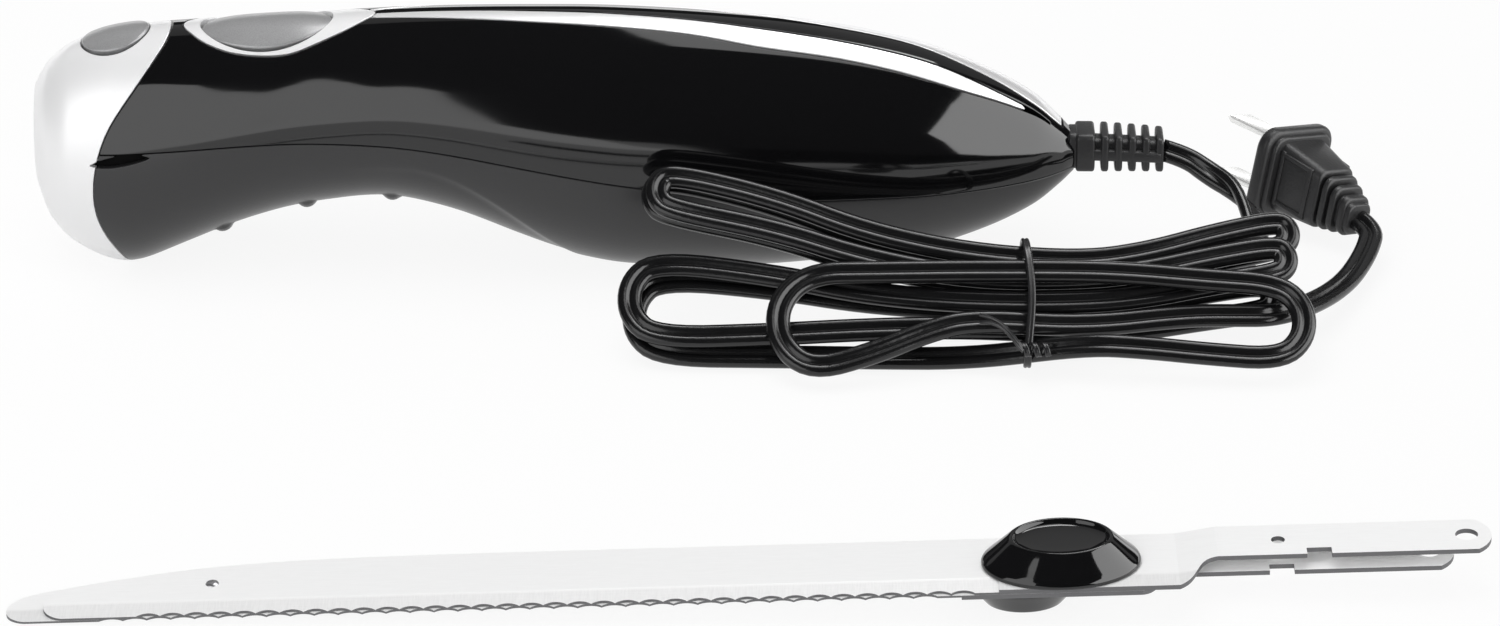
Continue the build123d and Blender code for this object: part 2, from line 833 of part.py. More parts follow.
def make_blade(slotted):
    """One blade lying on z = 0 with its ground side up."""
    reach = blade_width
    plan = Pos(0, 0, -reach) * extrude(blade_outline(), reach * 2)
    jog_end = heel + jog_length
    far = blade_length + reach
    top = blade_thickness
    profile = make_face(
        Polyline(
            (-reach, 0), (heel, 0), (jog_end, tang_jog), (far, tang_jog), (far, tang_jog + top),
            (jog_end, tang_jog + top), (heel, top), (-reach, top), close=True,
        )
    )
    blade = plan & extrude(Plane.XZ * profile, reach * 2, both=True)
    low = top - grind_depth
    ground = [(-reach, top + reach), (-reach, low), (0, low), (grind_width, top), (grind_width, top + reach)]
    wedge = make_face(Polyline(*ground, close=True))
    grind_end = edge_start + scallop_count * scallop_pitch + scallop_pitch
    blade -= Pos(-reach, 0, 0) * extrude(Plane.YZ * wedge, grind_end + reach)
    tang_middle = blade_width - tang_width / 2
    blade -= Pos(latch_hole_station, tang_middle, 0) * Cylinder(latch_hole_radius, reach)
    blade -= Pos(drive_hole_station, tang_middle, 0) * Cylinder(drive_hole_radius, reach)
    notch_middle = notch_start + notch_length / 2
    blade -= Pos(notch_middle, blade_width - tang_width, 0) * Box(notch_length, notch_depth * 2, reach)
    if slotted:
        slot = SlotCenterToCenter(blade_slide, (rivet_radius + slide_gap / 2) * 2)
        blade -= Pos(rivet_station + blade_offset, rivet_level, -reach / 2) * extrude(slot, reach)
    else:
        blade -= Pos(rivet_station, rivet_level, 0) * Cylinder(rivet_radius + press_gap, reach)
    return blade


def make_hub():
    """Oval finger guard with a dished top, standing on z = 0."""
    rows = ((0.0, 1.0), (0.16, 1.0), (0.55, 0.84), (1.0, 0.64))
    sections = []
    for rise, share in rows:
        sections.append(Pos(0, 0, rise * hub_height) * Ellipse(hub_length / 2 * share, hub_width / 2 * share))
    body = loft(sections[:2]) + loft(sections[1:])
    dish_depth = hub_height * 0.2
    dish = loft([
        Pos(0, 0, hub_height - dish_depth) * Ellipse(hub_length * 0.24, hub_width * 0.24),
        Pos(0, 0, hub_height + dish_depth) * Ellipse(hub_length * 0.36, hub_width * 0.36),
    ])
    return body - dish


def make_blades():
    """Pair of blades with their hubs and rivet, leaning on the lower hub and the tips."""
    half_gap = blade_gap / 2
    middle = blade_width / 2
    flip = Rot(180, 0, 0)
    upper = Pos(blade_offset, -middle, half_gap) * make_blade(False)
    lower = Pos(0, -middle, 0) * make_blade(True)
    lower = Pos(0, 0, -half_gap) * mirror(lower, Plane.XY)
    hub = make_hub()
    hub_upper = Pos(hub_station + blade_offset, 0, half_gap + blade_thickness) * hub
    hub_lower = Pos(hub_station, 0, -half_gap - blade_thickness) * flip * hub
    level = half_gap + blade_thickness
    place = Pos(rivet_station + blade_offset, rivet_level - middle, 0)
    rivet = place * Cylinder(rivet_radius, level * 2)
    head = Cylinder(rivet_head_radius, rivet_head_height)
    for side in (-1, 1):
        rivet += place * Pos(0, 0, side * (level + rivet_head_height / 2)) * head
    pieces = {
        "blade_upper": upper,
        "blade_lower": lower,
        "hub_upper": hub_upper,
        "hub_lower": hub_lower,
        "blade_rivet": rivet,
    }
    tilt = math.degrees(math.atan2(hub_height, hub_station - hub_length * 0.32 - tip_rounding / 2))
    lean = Rot(0, -tilt, 0)
    leaning = {name: lean * piece for name, piece in pieces.items()}
    lowest = min(piece.bounding_box().min.Z for piece in leaning.values())
    right = max(piece.bounding_box().max.X for piece in leaning.values())
    place = Pos(blade_end - right, blade_side, -lowest)
    print("blade tilt", tilt, "shift", blade_end - right, -lowest)
    return {name: place * piece for name, piece in leaning.items()}


def hank_point(along, up, layer_height):
    """Point of the hank from its place along, up and off its plane."""
    lean = math.radians(hank_lean)
    return Vector(
        hank_waist[0] + along,
        hank_waist[1] + up * math.cos(lean) - layer_height * math.sin(lean),
        hank_waist[2] + up * math.sin(lean) + layer_height * math.cos(lean),
    )


def s_bend(start, finish, level_axis):
    """Two equal arcs that shift a run sideways, both ends along the run."""
    along = finish[0] - start[0]
    shift = finish[level_axis] - start[level_axis]
    if abs(shift) < slide_gap / 10:
        return [Line(hank_point(*start), hank_point(*finish))]
    turn = 2 * math.atan2(abs(shift), abs(along))
    radius = (along**2 + shift**2) / (4 * abs(shift))
    forward = math.copysign(radius * math.sin(turn / 2), along)
    sideways = math.copysign(radius * (1 - math.cos(turn / 2)), shift)
    middle = [(a + b) / 2 for a, b in zip(start, finish)]
    first = list(start)
    first[0] += forward
    first[level_axis] += sideways
    second = list(finish)
    second[0] -= forward
    second[level_axis] -= sideways
    return [
        ThreePointArc(hank_point(*start), hank_point(*first), hank_point(*middle)),
        ThreePointArc(hank_point(*middle), hank_point(*second), hank_point(*finish)),
    ]


def run_height(place):
    return lowest_run + (place + 1) * run_pitch


def hank_path():
    """Unbroken centre line of the hank."""
    edges = []
    half_climb = climb_length / 2
    height = run_height(run_places[0])
    layer = end_layers[0] * layer_pitch
    edges.append(Line(hank_point(hank_start_reach, height, layer), hank_point(half_climb, height, layer)))
    side = -1
    for index, (reach, middle, half, level) in enumerate(hank_lobes):
        lobe_layer = level * layer_pitch
        height = run_height(run_places[index])
        after = run_height(run_places[index + 1])
        rising = math.copysign(half, height - after)
        edges += s_bend((-side * half_climb, height, layer), (side * half_climb, height, lobe_layer), 2)
        turn_start = side * (reach - half)
        edges += s_bend((side * half_climb, height, lobe_layer), (turn_start, middle + rising, lobe_layer), 1)
        rounds = []
        for angle in (90, 45, 0, -45, -90):
            forward = side * half * math.cos(math.radians(angle))
            upward = rising * math.sin(math.radians(angle))
            rounds.append(hank_point(turn_start + forward, middle + upward, lobe_layer))
        edges += [ThreePointArc(*rounds[0:3]), ThreePointArc(*rounds[2:5])]
        edges += s_bend((turn_start, middle - rising, lobe_layer), (side * half_climb, after, lobe_layer), 1)
        layer = lobe_layer
        side = -side
    last = run_height(run_places[-1])
    final = end_layers[1] * layer_pitch
    edges += s_bend((-half_climb, last, layer), (half_climb, last, final), 2)
    edges += s_bend((half_climb, last, final), (exit_bend_reach, hank_exit_rise, final), 1)
    exit_ends = [hank_point(reach, hank_exit_rise, final) for reach in (exit_bend_reach, hank_end_reach)]
    edges.append(Line(*exit_ends))
    return Wire(edges)


def least_gap(path):
    """Smallest clear distance of the flex to itself, measured on points of its centre line."""
    lean = math.radians(hank_lean)
    off_plane = Vector(0, -math.sin(lean), math.cos(lean))
    length = path.length
    count = int(length / flex_thickness)
    spacing = length / count
    points = [path.position_at(step / count) for step in range(count + 1)]
    skip = int(flex_width * 2 / spacing)
    least = length
    for a in range(len(points)):
        along = path.tangent_at(a / count)
        across = along.cross(off_plane).normalized()
        depth = across.cross(along)
        for b in range(a + skip, len(points)):
            between = points[b] - points[a]
            if abs(between.dot(along)) > spacing:
                continue
            off = max(0.0, abs(between.dot(depth)) - flex_thickness)
            flat = max(0.0, abs(between.dot(across)) - flex_width)
            least = min(least, math.hypot(off, flat))
    return least


def flex_section():
    """Twin-core flex as an eight-sided flat bar."""
    bevel = flex_thickness * 0.3
    wide = flex_width / 2
    thick = flex_thickness / 2
    corners = [(wide, thick - bevel), (wide - bevel, thick)]
    corners += [(-x, y) for x, y in reversed(corners)]
    corners += [(x, -y) for x, y in reversed(corners)]
    return make_face(Polyline(*corners, close=True))


def make_hank():
    path = hank_path()
    lean = math.radians(hank_lean)
    up_plane = Vector(0, math.cos(lean), math.sin(lean))
    start = Plane(origin=path.position_at(0), x_dir=up_plane, z_dir=path.tangent_at(0))
    hank = sweep(start * flex_section(), path=path)
    volume_share = hank.volume / (flex_section().area * path.length)
    print("hank length", path.length, "volume share", volume_share, "least gap", least_gap(path))
    return hank


def round_tube(points, diameter, name):
    """Round flex along straight runs joined by tangent arcs."""
    spots = [Vector(*point) if isinstance(point, tuple) else point for point in points]
    radii = []
    for before, corner, after in zip(spots, spots[1:], spots[2:]):
        turn = (corner - before).get_angle(after - corner)
        shorter = min((corner - before).length, (after - corner).length)
        radii.append(0.45 * shorter / math.tan(math.radians(turn) / 2))
    path = FilletPolyline(*spots, radius=radii)
    start = Plane(origin=spots[0], z_dir=spots[1] - spots[0])
    tube = sweep(start * Circle(diameter / 2), path=path)
    section = math.pi * diameter**2 / 4
    print(name, "radii", [round(radius, 1) for radius in radii], "length", path.length)
    print(name, "volume share", tube.volume / (section * path.length))
    return tube


def upright_bar(low, high, width_low, height_low, width_high, height_high, rounding):
    """Tapered bar along the plug's axis."""
    sections = []
    for spot, width, height in ((low, width_low, height_low), (high, width_high, height_high)):
        across = Plane(origin=(spot, 0, 0), x_dir=(0, 1, 0), z_dir=(1, 0, 0))
        sections.append(across * RectangleRounded(width, height, rounding))
    return loft(sections)


def make_plug():
    neck = flex_width * 1.25
    body = upright_bar(0, rib_zone, neck, neck, neck * 1.05, neck * 1.05, neck * 0.2)
    for index in range(3):
        low = rib_zone * (0.06 + 0.34 * index)
        high = low + rib_zone * 0.2
        size = neck * (1.3 + 0.12 * index)
        body += upright_bar(low, high, size, size, size, size, neck * 0.2)
    body += upright_bar(rib_zone, body_end, neck * 1.7, neck * 1.7, neck * 2.2, neck * 2.5, neck * 0.25)
    panel = Box((body_end - rib_zone) * 0.6, panel_depth * 2, neck * 1.2)
    for side in (-1, 1):
        body -= Pos((rib_zone + body_end) / 2, side * neck * 1.1, 0) * panel
    back = body_end + flange_thickness
    body += upright_bar(body_end, back, flange_width, flange_height, flange_width, flange_height, flange_rounding)
    prongs = []
    prong = Box(prong_length, prong_width, prong_thickness)
    for side in (-1, 1):
        prongs.append(Pos(back + prong_length / 2, 0, side * prong_spacing / 2) * prong)
    place = Plane(origin=plug_place, x_dir=plug_heading, z_dir=(0, 0, 1)).location
    return {"plug_body": place * body, "plug_prongs": Compound([place * prong for prong in prongs])}


def make_strain_relief():
    """Square ribbed sleeve on the flex at the tail of the handle."""
    tail = handle_start + handle_length
    half = relief_side / 2
    neck = relief_neck - press_gap
    slim = relief_side * 0.34

    def piece(low, high, reach):
        y_ends = (handle_side - reach, handle_side + reach)
        return block(low, high, *y_ends, relief_level - reach, relief_level + reach)

    sleeve = piece(tail - wall * 2, tail, neck)
    sleeve += piece(tail, relief_end, slim)
    sleeve += piece(tail, tail + relief_collar, half)
    rib = (relief_end - tail - relief_collar) / (2 * relief_ribs)
    for index in range(relief_ribs):
        low = tail + relief_collar + rib * (2 * index + 1)
        sleeve += piece(low, low + rib, half)
    return sleeve


def make_tie():
    """Wire tie round the waist of the hank."""
    corners = [hank_point(0, up, off) for up, off in tie_corners]
    radii = []
    for index, corner in enumerate(corners):
        before = corners[index - 1]
        after = corners[(index + 1) % len(corners)]
        turn = (corner - before).get_angle(after - corner)
        shorter = min((corner - before).length, (after - corner).length)
        radii.append(min(tie_diameter * 2, 0.45 * shorter / math.tan(math.radians(turn) / 2)))
    path = FilletPolyline(*corners, radius=radii, close=True)
    section = Plane(origin=path @ 0, z_dir=path % 0) * RegularPolygon(tie_diameter / 2, 8)
    return sweep(section, path=path)


def make_flex():
    lead_end = hank_point(hank_start_reach, run_height(run_places[0]), end_layers[0] * layer_pitch)
    tail_start = hank_point(hank_end_reach, hank_exit_rise, end_layers[1] * layer_pitch)
    meet = Vector(square_run, 0, 0)
    entry = Vector(*plug_place) - Vector(*plug_heading).normalized() * square_run
    print("lead end", lead_end, "tail start", tail_start, "entry", entry)
    tail_points = [tail_start, tail_start + meet] + tail_route + [entry, plug_place]
    return {
        "strain_relief": make_strain_relief(),
        "cord_lead": round_tube(lead_route + [lead_end + meet, lead_end], lead_diameter, "lead"),
        "cord_hank": make_hank(),
        "cord_tail": round_tube(tail_points, lead_diameter, "tail"),
        "cord_tie": make_tie(),
    }


def save(shape, name):
    """Write one piece under its own name."""
    solids = shape.solids()
    export_step(Compound(solids) if len(solids) > 1 else solids[0], f"parts/{name}.step")


def build():
    """Model every piece and write it."""
    os.makedirs("parts", exist_ok=True)
    nodes = {}
    upper, lower, nose_cap, bezel, stripes = make_housing()
    nodes["upper_housing"] = upper
    nodes["lower_housing"] = lower
    nodes["nose_cap"] = nose_cap
    nodes["trigger_bezel"] = bezel
    nodes["trim_stripe_near"] = stripes[-1]
    nodes["trim_stripe_far"] = stripes[1]
    nodes.update(make_controls())
    nodes.update(make_drive())
    nodes.update(make_blades())
    nodes.update(make_plug())
    nodes.update(make_flex())
    for name, piece in nodes.items():
        save(piece, name)


build()
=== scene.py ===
import json
import math
import bpy
import numpy as np
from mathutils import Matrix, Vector


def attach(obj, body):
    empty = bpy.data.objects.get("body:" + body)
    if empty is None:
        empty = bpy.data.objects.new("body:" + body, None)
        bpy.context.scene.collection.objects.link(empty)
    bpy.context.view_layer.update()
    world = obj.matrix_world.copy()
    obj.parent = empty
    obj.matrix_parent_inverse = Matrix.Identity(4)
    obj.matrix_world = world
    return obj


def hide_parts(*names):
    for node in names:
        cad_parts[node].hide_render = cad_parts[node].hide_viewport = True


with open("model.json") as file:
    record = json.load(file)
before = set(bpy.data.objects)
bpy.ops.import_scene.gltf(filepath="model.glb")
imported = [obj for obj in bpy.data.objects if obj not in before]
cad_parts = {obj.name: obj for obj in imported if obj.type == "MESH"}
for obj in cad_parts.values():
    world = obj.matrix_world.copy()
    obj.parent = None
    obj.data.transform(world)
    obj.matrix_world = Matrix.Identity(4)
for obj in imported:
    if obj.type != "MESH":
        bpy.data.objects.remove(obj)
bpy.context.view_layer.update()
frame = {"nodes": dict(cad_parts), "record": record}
nodes = frame["nodes"]

# Camera: a long lens a step away from the worktop, looking down on the handle with the
# blades laid in front of it, so that both stay nearly free of perspective.
look_at = Vector((0.0040, 0.0431, 0.0))
down_angle = math.radians(27.6)
stand_off = 1.40
film_width, focal_length = 36.0, 153.3
nearest, farthest = 0.05, 20.0


def add_object(name, data):
    """New object with its data, linked into the scene."""
    made = bpy.data.objects.new(name, data)
    bpy.context.scene.collection.objects.link(made)
    return made


camera_data = bpy.data.cameras.new("camera")
camera_data.sensor_fit = "HORIZONTAL"
camera_data.sensor_width = film_width
camera_data.lens = focal_length
camera_data.clip_start, camera_data.clip_end = nearest, farthest
camera = add_object("camera", camera_data)
camera.location = look_at + stand_off * Vector((0, -math.cos(down_angle), math.sin(down_angle)))
camera.rotation_euler = (math.pi / 2 - down_angle, 0, 0)
bpy.context.scene.camera = camera
bpy.context.scene.view_settings.view_transform = "Standard"


class Socket:
    """A shader value that Python's own operators work on."""

    def __init__(self, tree, output):
        self.tree = tree
        self.output = output

    def node(self, kind, settings=None, inputs=None):
        made = self.tree.nodes.new(kind)
        for name, value in (settings or {}).items():
            setattr(made, name, value)
        for name, value in (inputs or {}).items():
            slot = made.inputs[name]
            if isinstance(value, Socket):
                self.tree.links.new(value.output, slot)
            else:
                slot.default_value = value
        return made

    def take(self, made, name=0):
        return Socket(self.tree, made.outputs[name])

    def math(self, operation, *values, clamp=False):
        inputs = dict(enumerate(values))
        return self.take(self.node("ShaderNodeMath", {"operation": operation, "use_clamp": clamp}, inputs))

    def __add__(self, other):
        return self.math("ADD", self, other)

    __radd__ = __add__

    def __mul__(self, other):
        return self.math("MULTIPLY", self, other)

    __rmul__ = __mul__

    def __sub__(self, other):
        return self.math("SUBTRACT", self, other)

    def __rsub__(self, other):
        return self.math("SUBTRACT", other, self)

    def clamp(self):
        return self.math("ADD", self, 0.0, clamp=True)

    def highest(self, other):
        return self.math("MAXIMUM", self, other)

    def over(self, level):
        return self.math("GREATER_THAN", self, level)

    def under(self, level):
        return self.math("LESS_THAN", self, level)

    def blend(self, low, high):
        """Colour between two colours, by this value."""
        made = self.node("ShaderNodeMix", {"data_type": "RGBA"}, {"Factor": self})
        for name, color in (("A", low), ("B", high)):
            slot = [s for s in made.inputs if s.name == name and s.type == "RGBA"][0]
            if isinstance(color, Socket):
                self.tree.links.new(color.output, slot)
            else:
                slot.default_value = color
        return Socket(self.tree, [s for s in made.outputs if s.type == "RGBA"][0])


class Finish(Socket):
    """A material in the making: its tree, its place on the object and its surface shader."""

    def __init__(self, name, color, roughness, **fixed):
        self.material = bpy.data.materials.new(name)
        self.material.use_nodes = True
        self.tree = self.material.node_tree
        self.surface = self.tree.nodes["Principled BSDF"]
        self.surface.inputs["Base Color"].default_value = color
        self.surface.inputs["Roughness"].default_value = roughness
        for word, value in fixed.items():
            self.surface.inputs[word.replace("_", " ").title().replace("Ior", "IOR")].default_value = value
        self.output = self.node("ShaderNodeTexCoord").outputs["Object"]

    def stretched(self, *scale):
        """The object's own place, stretched along its axes."""
        return self.take(self.node("ShaderNodeMapping", None, {"Vector": self, "Scale": scale}))

    def noise(self, scale, detail=2.0, place=None):
        inputs = {"Vector": place or self, "Scale": scale, "Detail": detail}
        return self.take(self.node("ShaderNodeTexNoise", None, inputs), "Fac")

    def feed(self, **links):
        for word, value in links.items():
            self.tree.links.new(value.output, self.surface.inputs[word.replace("_", " ").title()])

    def bump(self, height, distance):
        inputs = {"Height": height, "Distance": distance, "Strength": 1.0}
        self.feed(normal=self.take(self.node("ShaderNodeBump", None, inputs), "Normal"))

    def mottle(self, scale, least, spread, detail=2.0):
        """Let the roughness wander upwards from its least value by a spread."""
        self.feed(roughness=self.noise(scale, detail) * spread + least)

    def shader_mix(self, share, first, second):
        """Second shader laid over the first by a share."""
        made = self.node("ShaderNodeMixShader", None, {"Fac": share})
        self.tree.links.new(first, made.inputs[1])
        self.tree.links.new(second, made.inputs[2])
        return made.outputs[0]


# Worktop: a plain white sheet that reaches far back. It shows as pure white to the lens and
# keeps the soft shadow; the room above it is dark but for the boxes of light.
white, black = (1, 1, 1, 1), (0, 0, 0, 1)
floor_reach, floor_glow = 9.0, 0.90
room_fill, room_gleam = 0.40, 0.03
# In reflections the sheet is dark in front of dark_front: right of dark_left, and right of
# band_left as far forward as band_front.
dark_front, band_front = -0.2, -0.25
dark_left, band_left = 0.0, -0.085


def build(name, points, faces, finish):
    """Smooth-shaded object from points and faces, in one finish."""
    mesh = bpy.data.meshes.new(name)
    mesh.from_pydata(points, [], faces)
    mesh.polygons.foreach_set("use_smooth", [True] * len(mesh.polygons))
    mesh.materials.append(finish.material)
    return add_object(name, mesh)


floor_finish = Finish("worktop_white", (0.9, 0.9, 0.9, 1), 0.9, specular_ior_level=0.1)
floor_corners = [(x * floor_reach, y * floor_reach, 0) for x, y in ((-1, -1), (1, -1), (1, 1), (-1, 1))]
worktop = build("worktop", floor_corners, [(0, 1, 2, 3)], floor_finish)
rays = floor_finish.node("ShaderNodeLightPath")
lens, gloss, through = (
    floor_finish.take(rays, f"Is {kind} Ray") for kind in ("Camera", "Glossy", "Transmission")
)
floor_place = floor_finish.node("ShaderNodeSeparateXYZ", None, {"Vector": floor_finish})
rightward, backward = floor_finish.take(floor_place, "X"), floor_finish.take(floor_place, "Y")
band = rightward.over(band_left) * backward.over(band_front)
dark_zone = backward.under(dark_front) * rightward.over(dark_left).highest(band)
glow = floor_finish.node("ShaderNodeEmission", None, {"Color": white, "Strength": 1.0})
dark = floor_finish.node("ShaderNodeEmission", None, {"Color": black})
seen = lens.highest(gloss.highest(through)) * floor_glow
lit = floor_finish.shader_mix(seen, floor_finish.surface.outputs[0], glow.outputs[0])
shaded = floor_finish.shader_mix(gloss * dark_zone, lit, dark.outputs[0])
floor_finish.tree.links.new(shaded, floor_finish.tree.nodes["Material Output"].inputs["Surface"])

world = bpy.data.worlds.new("room")
bpy.context.scene.world = world
world.use_nodes = True
backdrop = world.node_tree.nodes["Background"]
backdrop.inputs["Color"].default_value = white
room = Socket(world.node_tree, backdrop.outputs[0])
paths = room.node("ShaderNodeLightPath")
glossy_ray, lens_ray = room.take(paths, "Is Glossy Ray"), room.take(paths, "Is Camera Ray")
fill = lens_ray.highest((1 - glossy_ray) * room_fill) + glossy_ray * room_gleam
world.node_tree.links.new(fill.output, backdrop.inputs["Strength"])


def softbox(name, place, aim, size, power):
    """Square cloth-covered lamp that lights the scene but isn't seen in the gloss."""
    lamp = bpy.data.lights.new(name, "AREA")
    lamp.shape = "RECTANGLE"
    lamp.size, lamp.size_y = size
    lamp.energy = power
    box = add_object(name, lamp)
    box.location = place
    box.rotation_euler = (Vector(aim) - Vector(place)).to_track_quat("-Z", "Y").to_euler()
    box.visible_glossy = False


softbox("overhead_box", (-0.2, -0.1, 1.5), (0, 0, 0), (1.6, 1.2), 14.0)
softbox("front_box", (-0.7, -1.2, 0.9), (0, 0, 0.02), (0.8, 0.6), 6.0)


def card(name, corners, strength):
    """Lit card that only shows as a reflection."""
    lamp = {"emission_color": white, "emission_strength": strength, "specular_ior_level": 0.0}
    made = build(name, corners, [tuple(range(len(corners)))], Finish(name, black, 1.0, **lamp))
    made.visible_camera = made.visible_diffuse = made.visible_shadow = made.visible_transmission = False


# Cards: one in front for the lower half of the cover, one at the right for its tail, two
# behind the handle, and two overhead for the stripes, the plug and the flex.
tail_spot, tail_reach = (0.06, 0.06, 0.035), 1.2
front_plane, top_level, ceiling_level = -0.43, 1.0, 1.01
back_half_width = 2.5


def toward(turn, rise):
    """Place seen from the handle's tail at a turn to the right of the lens and a rise."""
    turn, rise = math.radians(turn), math.radians(rise)
    flat = tail_reach * math.cos(rise)
    out = (flat * math.sin(turn), -flat * math.cos(turn), tail_reach * math.sin(rise))
    return tuple(start + way for start, way in zip(tail_spot, out))


def back_corners(away, low, high):
    """Corners of an upright rectangle behind the handle."""
    signs = ((-1, low), (1, low), (1, high), (-1, high))
    return [(side * back_half_width, away, level) for side, level in signs]


front_edge = [
    (-0.9, 0.57), (-0.30, 0.50), (-0.21, 0.45), (-0.185, 0.385), (-0.172, 0.345), (-0.16, 0.32),
    (-0.143, 0.275), (-0.12, 0.225), (-0.113, 0.12), (-0.109, 0.05), (-0.09, 0.040), (-0.065, 0.031),
    (-0.02, 0.012), (0.005, 0.0), (-0.9, 0.0),
]
tail_edge = [(78, 52), (46, 39), (36, 29), (25, 15), (29, 9), (31, 0), (36, -1.5), (110, -1.5), (110, 52)]
top_edge = [(-0.03, 0.30), (0.60, 0.30), (0.60, 0.62), (-0.03, 0.62)]
ceiling_edge = [
    (-0.03, 0.45), (0.01, 0.30), (0.03, 0.02), (0.06, -0.17), (0.60, -0.17), (0.60, 0.62), (-0.03, 0.62),
]
card("front_card", [(x, front_plane, z) for x, z in front_edge], 1.9)
card("tail_card", [toward(turn, rise) for turn, rise in tail_edge], 4.0)
card("back_card", back_corners(1.6, 0.75, 3.2), 0.35)
card("top_card", [(x, y, top_level) for x, y in top_edge], 8.0)
card("ceiling_card", [(x, y, ceiling_level) for x, y in ceiling_edge], 2.2)
card("backdrop_strip", back_corners(1.7, 0.0, 0.28), 2.0)

# Flex: black two-core flat lead, two round conductors side by side in one smooth sheath.
# It leaves the ribbed sleeve, is folded into a hank, and ends in the moulded plug.
flex_width, flex_thickness = 0.0053, 0.0027
twist_start, twist_length = 0.006, 0.030
hank_lean = math.radians(35.0)
hank_waist = (0.064, 0.0205, 0.00115)
layer_pitch, first_layer, last_layer = 0.0034, 0, 2
run_pitch, lowest_run = 0.0059, -0.0022
half_climb = 0.012
entry_reaches = (0.0387, 0.0325)
exit_reaches, exit_rise = (0.034, 0.0455, 0.0517), 0.0065
# The folds that rest on the handle are lifted, in full before they reach their turn.
fold_lifts = {0: Vector((0, -0.0015, 0.0062)), 2: Vector((0, -0.0015, 0.0056))}
lift_haste = 1.2
# A run leaves for its turn in two steps: shares of the way out and of the rise to the turn.
bend_steps = ((0.40, 0.22), (0.62, 0.66))
turn_corners = ((0.414, 1), (1, 0.414), (1, -0.414), (0.414, -1))


def on_hank(along, up, off):
    """Point from its place along, up and off the plane that the hank lies on."""
    return Vector((
        hank_waist[0] + along,
        hank_waist[1] + up * math.cos(hank_lean) - off * math.sin(hank_lean),
        hank_waist[2] + up * math.sin(hank_lean) + off * math.cos(hank_lean),
    ))


def run_height(place):
    """How far up the plane of the hank the run at a place lies."""
    return lowest_run + (place + 1) * run_pitch


# Folds in order, first to the left: reach, middle, half height and layer, with the places
# of the runs that pass the tie between them.
folds = [
    (0.081, 0.032, 0.0045, 1),
    (0.057, 0.028, 0.0034, 1),
    (0.080, 0.032, 0.0045, 2),
    (0.056, 0.020, 0.0034, 2),
    (0.086, 0.0104, 0.0094, 2),
    (0.053, 0.0126, 0.0034, 1),
    (0.085, 0.008, 0.0095, 1),
    (0.059, 0.00325, 0.00905, 3),
    (0.054, 0.0032, 0.0118, 3),
]
run_places = [3, 2, 3, 2, 1, 0, 1, -1, 2, 0]
lead_points = [
    (0.0952, 0.07275, 0.0253),
    (0.1006, 0.0719, 0.0240),
    (0.1055, 0.0690, 0.0214),
    (0.1106, 0.0645, 0.0199),
    (0.1142, 0.0574, 0.0175),
    (0.1153, 0.0502, 0.0155),
    (0.1136, 0.0437, 0.0141),
    (0.1093, 0.0395, 0.0134),
]
tail_points = [
    (0.1213, 0.0252, 0.0100),
    (0.1262, 0.0318, 0.0084),
    (0.1310, 0.0400, 0.0066),
    (0.1352, 0.0485, 0.0054),
    (0.1384, 0.0560, 0.0054),
    (0.1410, 0.0630, 0.0062),
    (0.1424, 0.0690, 0.0073),
    (0.1390, 0.0732, 0.0081),
]
route = [Vector(point) for point in lead_points]
for along in (*entry_reaches, half_climb):
    route.append(on_hank(along, run_height(run_places[0]), first_layer * layer_pitch))
side = -1
for index, (reach, middle, half, level) in enumerate(folds):
    height, after = run_height(run_places[index]), run_height(run_places[index + 1])
    rising = math.copysign(1, height - after)
    turn_start = reach - half
    before_turn, after_turn = middle + rising * half - height, middle - rising * half - after
    way_out = half_climb + turn_start
    turn_ahead = [(half_climb, height)]
    turn_ahead += [(way_out * out, height + before_turn * up) for out, up in bend_steps]
    turn_ahead += [(turn_start + out * half, middle + rising * up * half) for out, up in turn_corners]
    turn_ahead += [(way_out * out, after + after_turn * up) for out, up in bend_steps[::-1]]
    turn_ahead.append((half_climb, after))
    for out, up in turn_ahead:
        lifted = min(1, max(0, (out - half_climb) / (turn_start - half_climb) * lift_haste))
        lift = fold_lifts.get(index, Vector()) * lifted
        route.append(on_hank(side * out, up, level * layer_pitch) + lift)
    side = -side
route.append(on_hank(half_climb, run_height(run_places[-1]), last_layer * layer_pitch))
route += [on_hank(along, exit_rise, last_layer * layer_pitch) for along in exit_reaches]
route += [Vector(point) for point in tail_points]

curve = bpy.data.curves.new("flex_line", "CURVE")
curve.dimensions = "3D"
line = curve.splines.new("NURBS")
line.points.add(len(route) - 1)
for spot, point in zip(line.points, route):
    spot.co = (*point, 1)
line.order_u = 3
line.use_endpoint_u = True
line.resolution_u = 6
guide = add_object("flex_line", curve)
bpy.context.view_layer.update()
sampled = bpy.data.meshes.new_from_object(guide.evaluated_get(bpy.context.evaluated_depsgraph_get()))
centre_line = np.array([vertex.co for vertex in sampled.vertices])
bpy.data.objects.remove(guide)
bpy.data.meshes.remove(sampled)
least_step = 2e-4
moved = np.linalg.norm(np.diff(centre_line, axis=0), axis=1) > least_step
centre_line = centre_line[np.concatenate(([True], moved))]


def unit(vectors):
    """Vectors, one to a row, at unit length."""
    return vectors / (np.linalg.norm(vectors, axis=1)[:, None] + 1e-12)


def ramp(values, reach):
    """Share of a reach that values have come to, from nought to one."""
    return np.clip(values / reach, 0, 1)


def ring_faces(rings, per_ring, closed=False, capped=True):
    """Faces between rings of points in a row, and over its two ends."""
    faces = []
    for ring in range(rings if closed else rings - 1):
        low, high = ring * per_ring, (ring + 1) % rings * per_ring
        for spot in range(per_ring):
            after = (spot + 1) % per_ring
            faces.append((low + spot, low + after, high + after, high + spot))
    if capped and not closed:
        faces.append(tuple(reversed(range(per_ring))))
        faces.append(tuple(range((rings - 1) * per_ring, rings * per_ring)))
    return faces


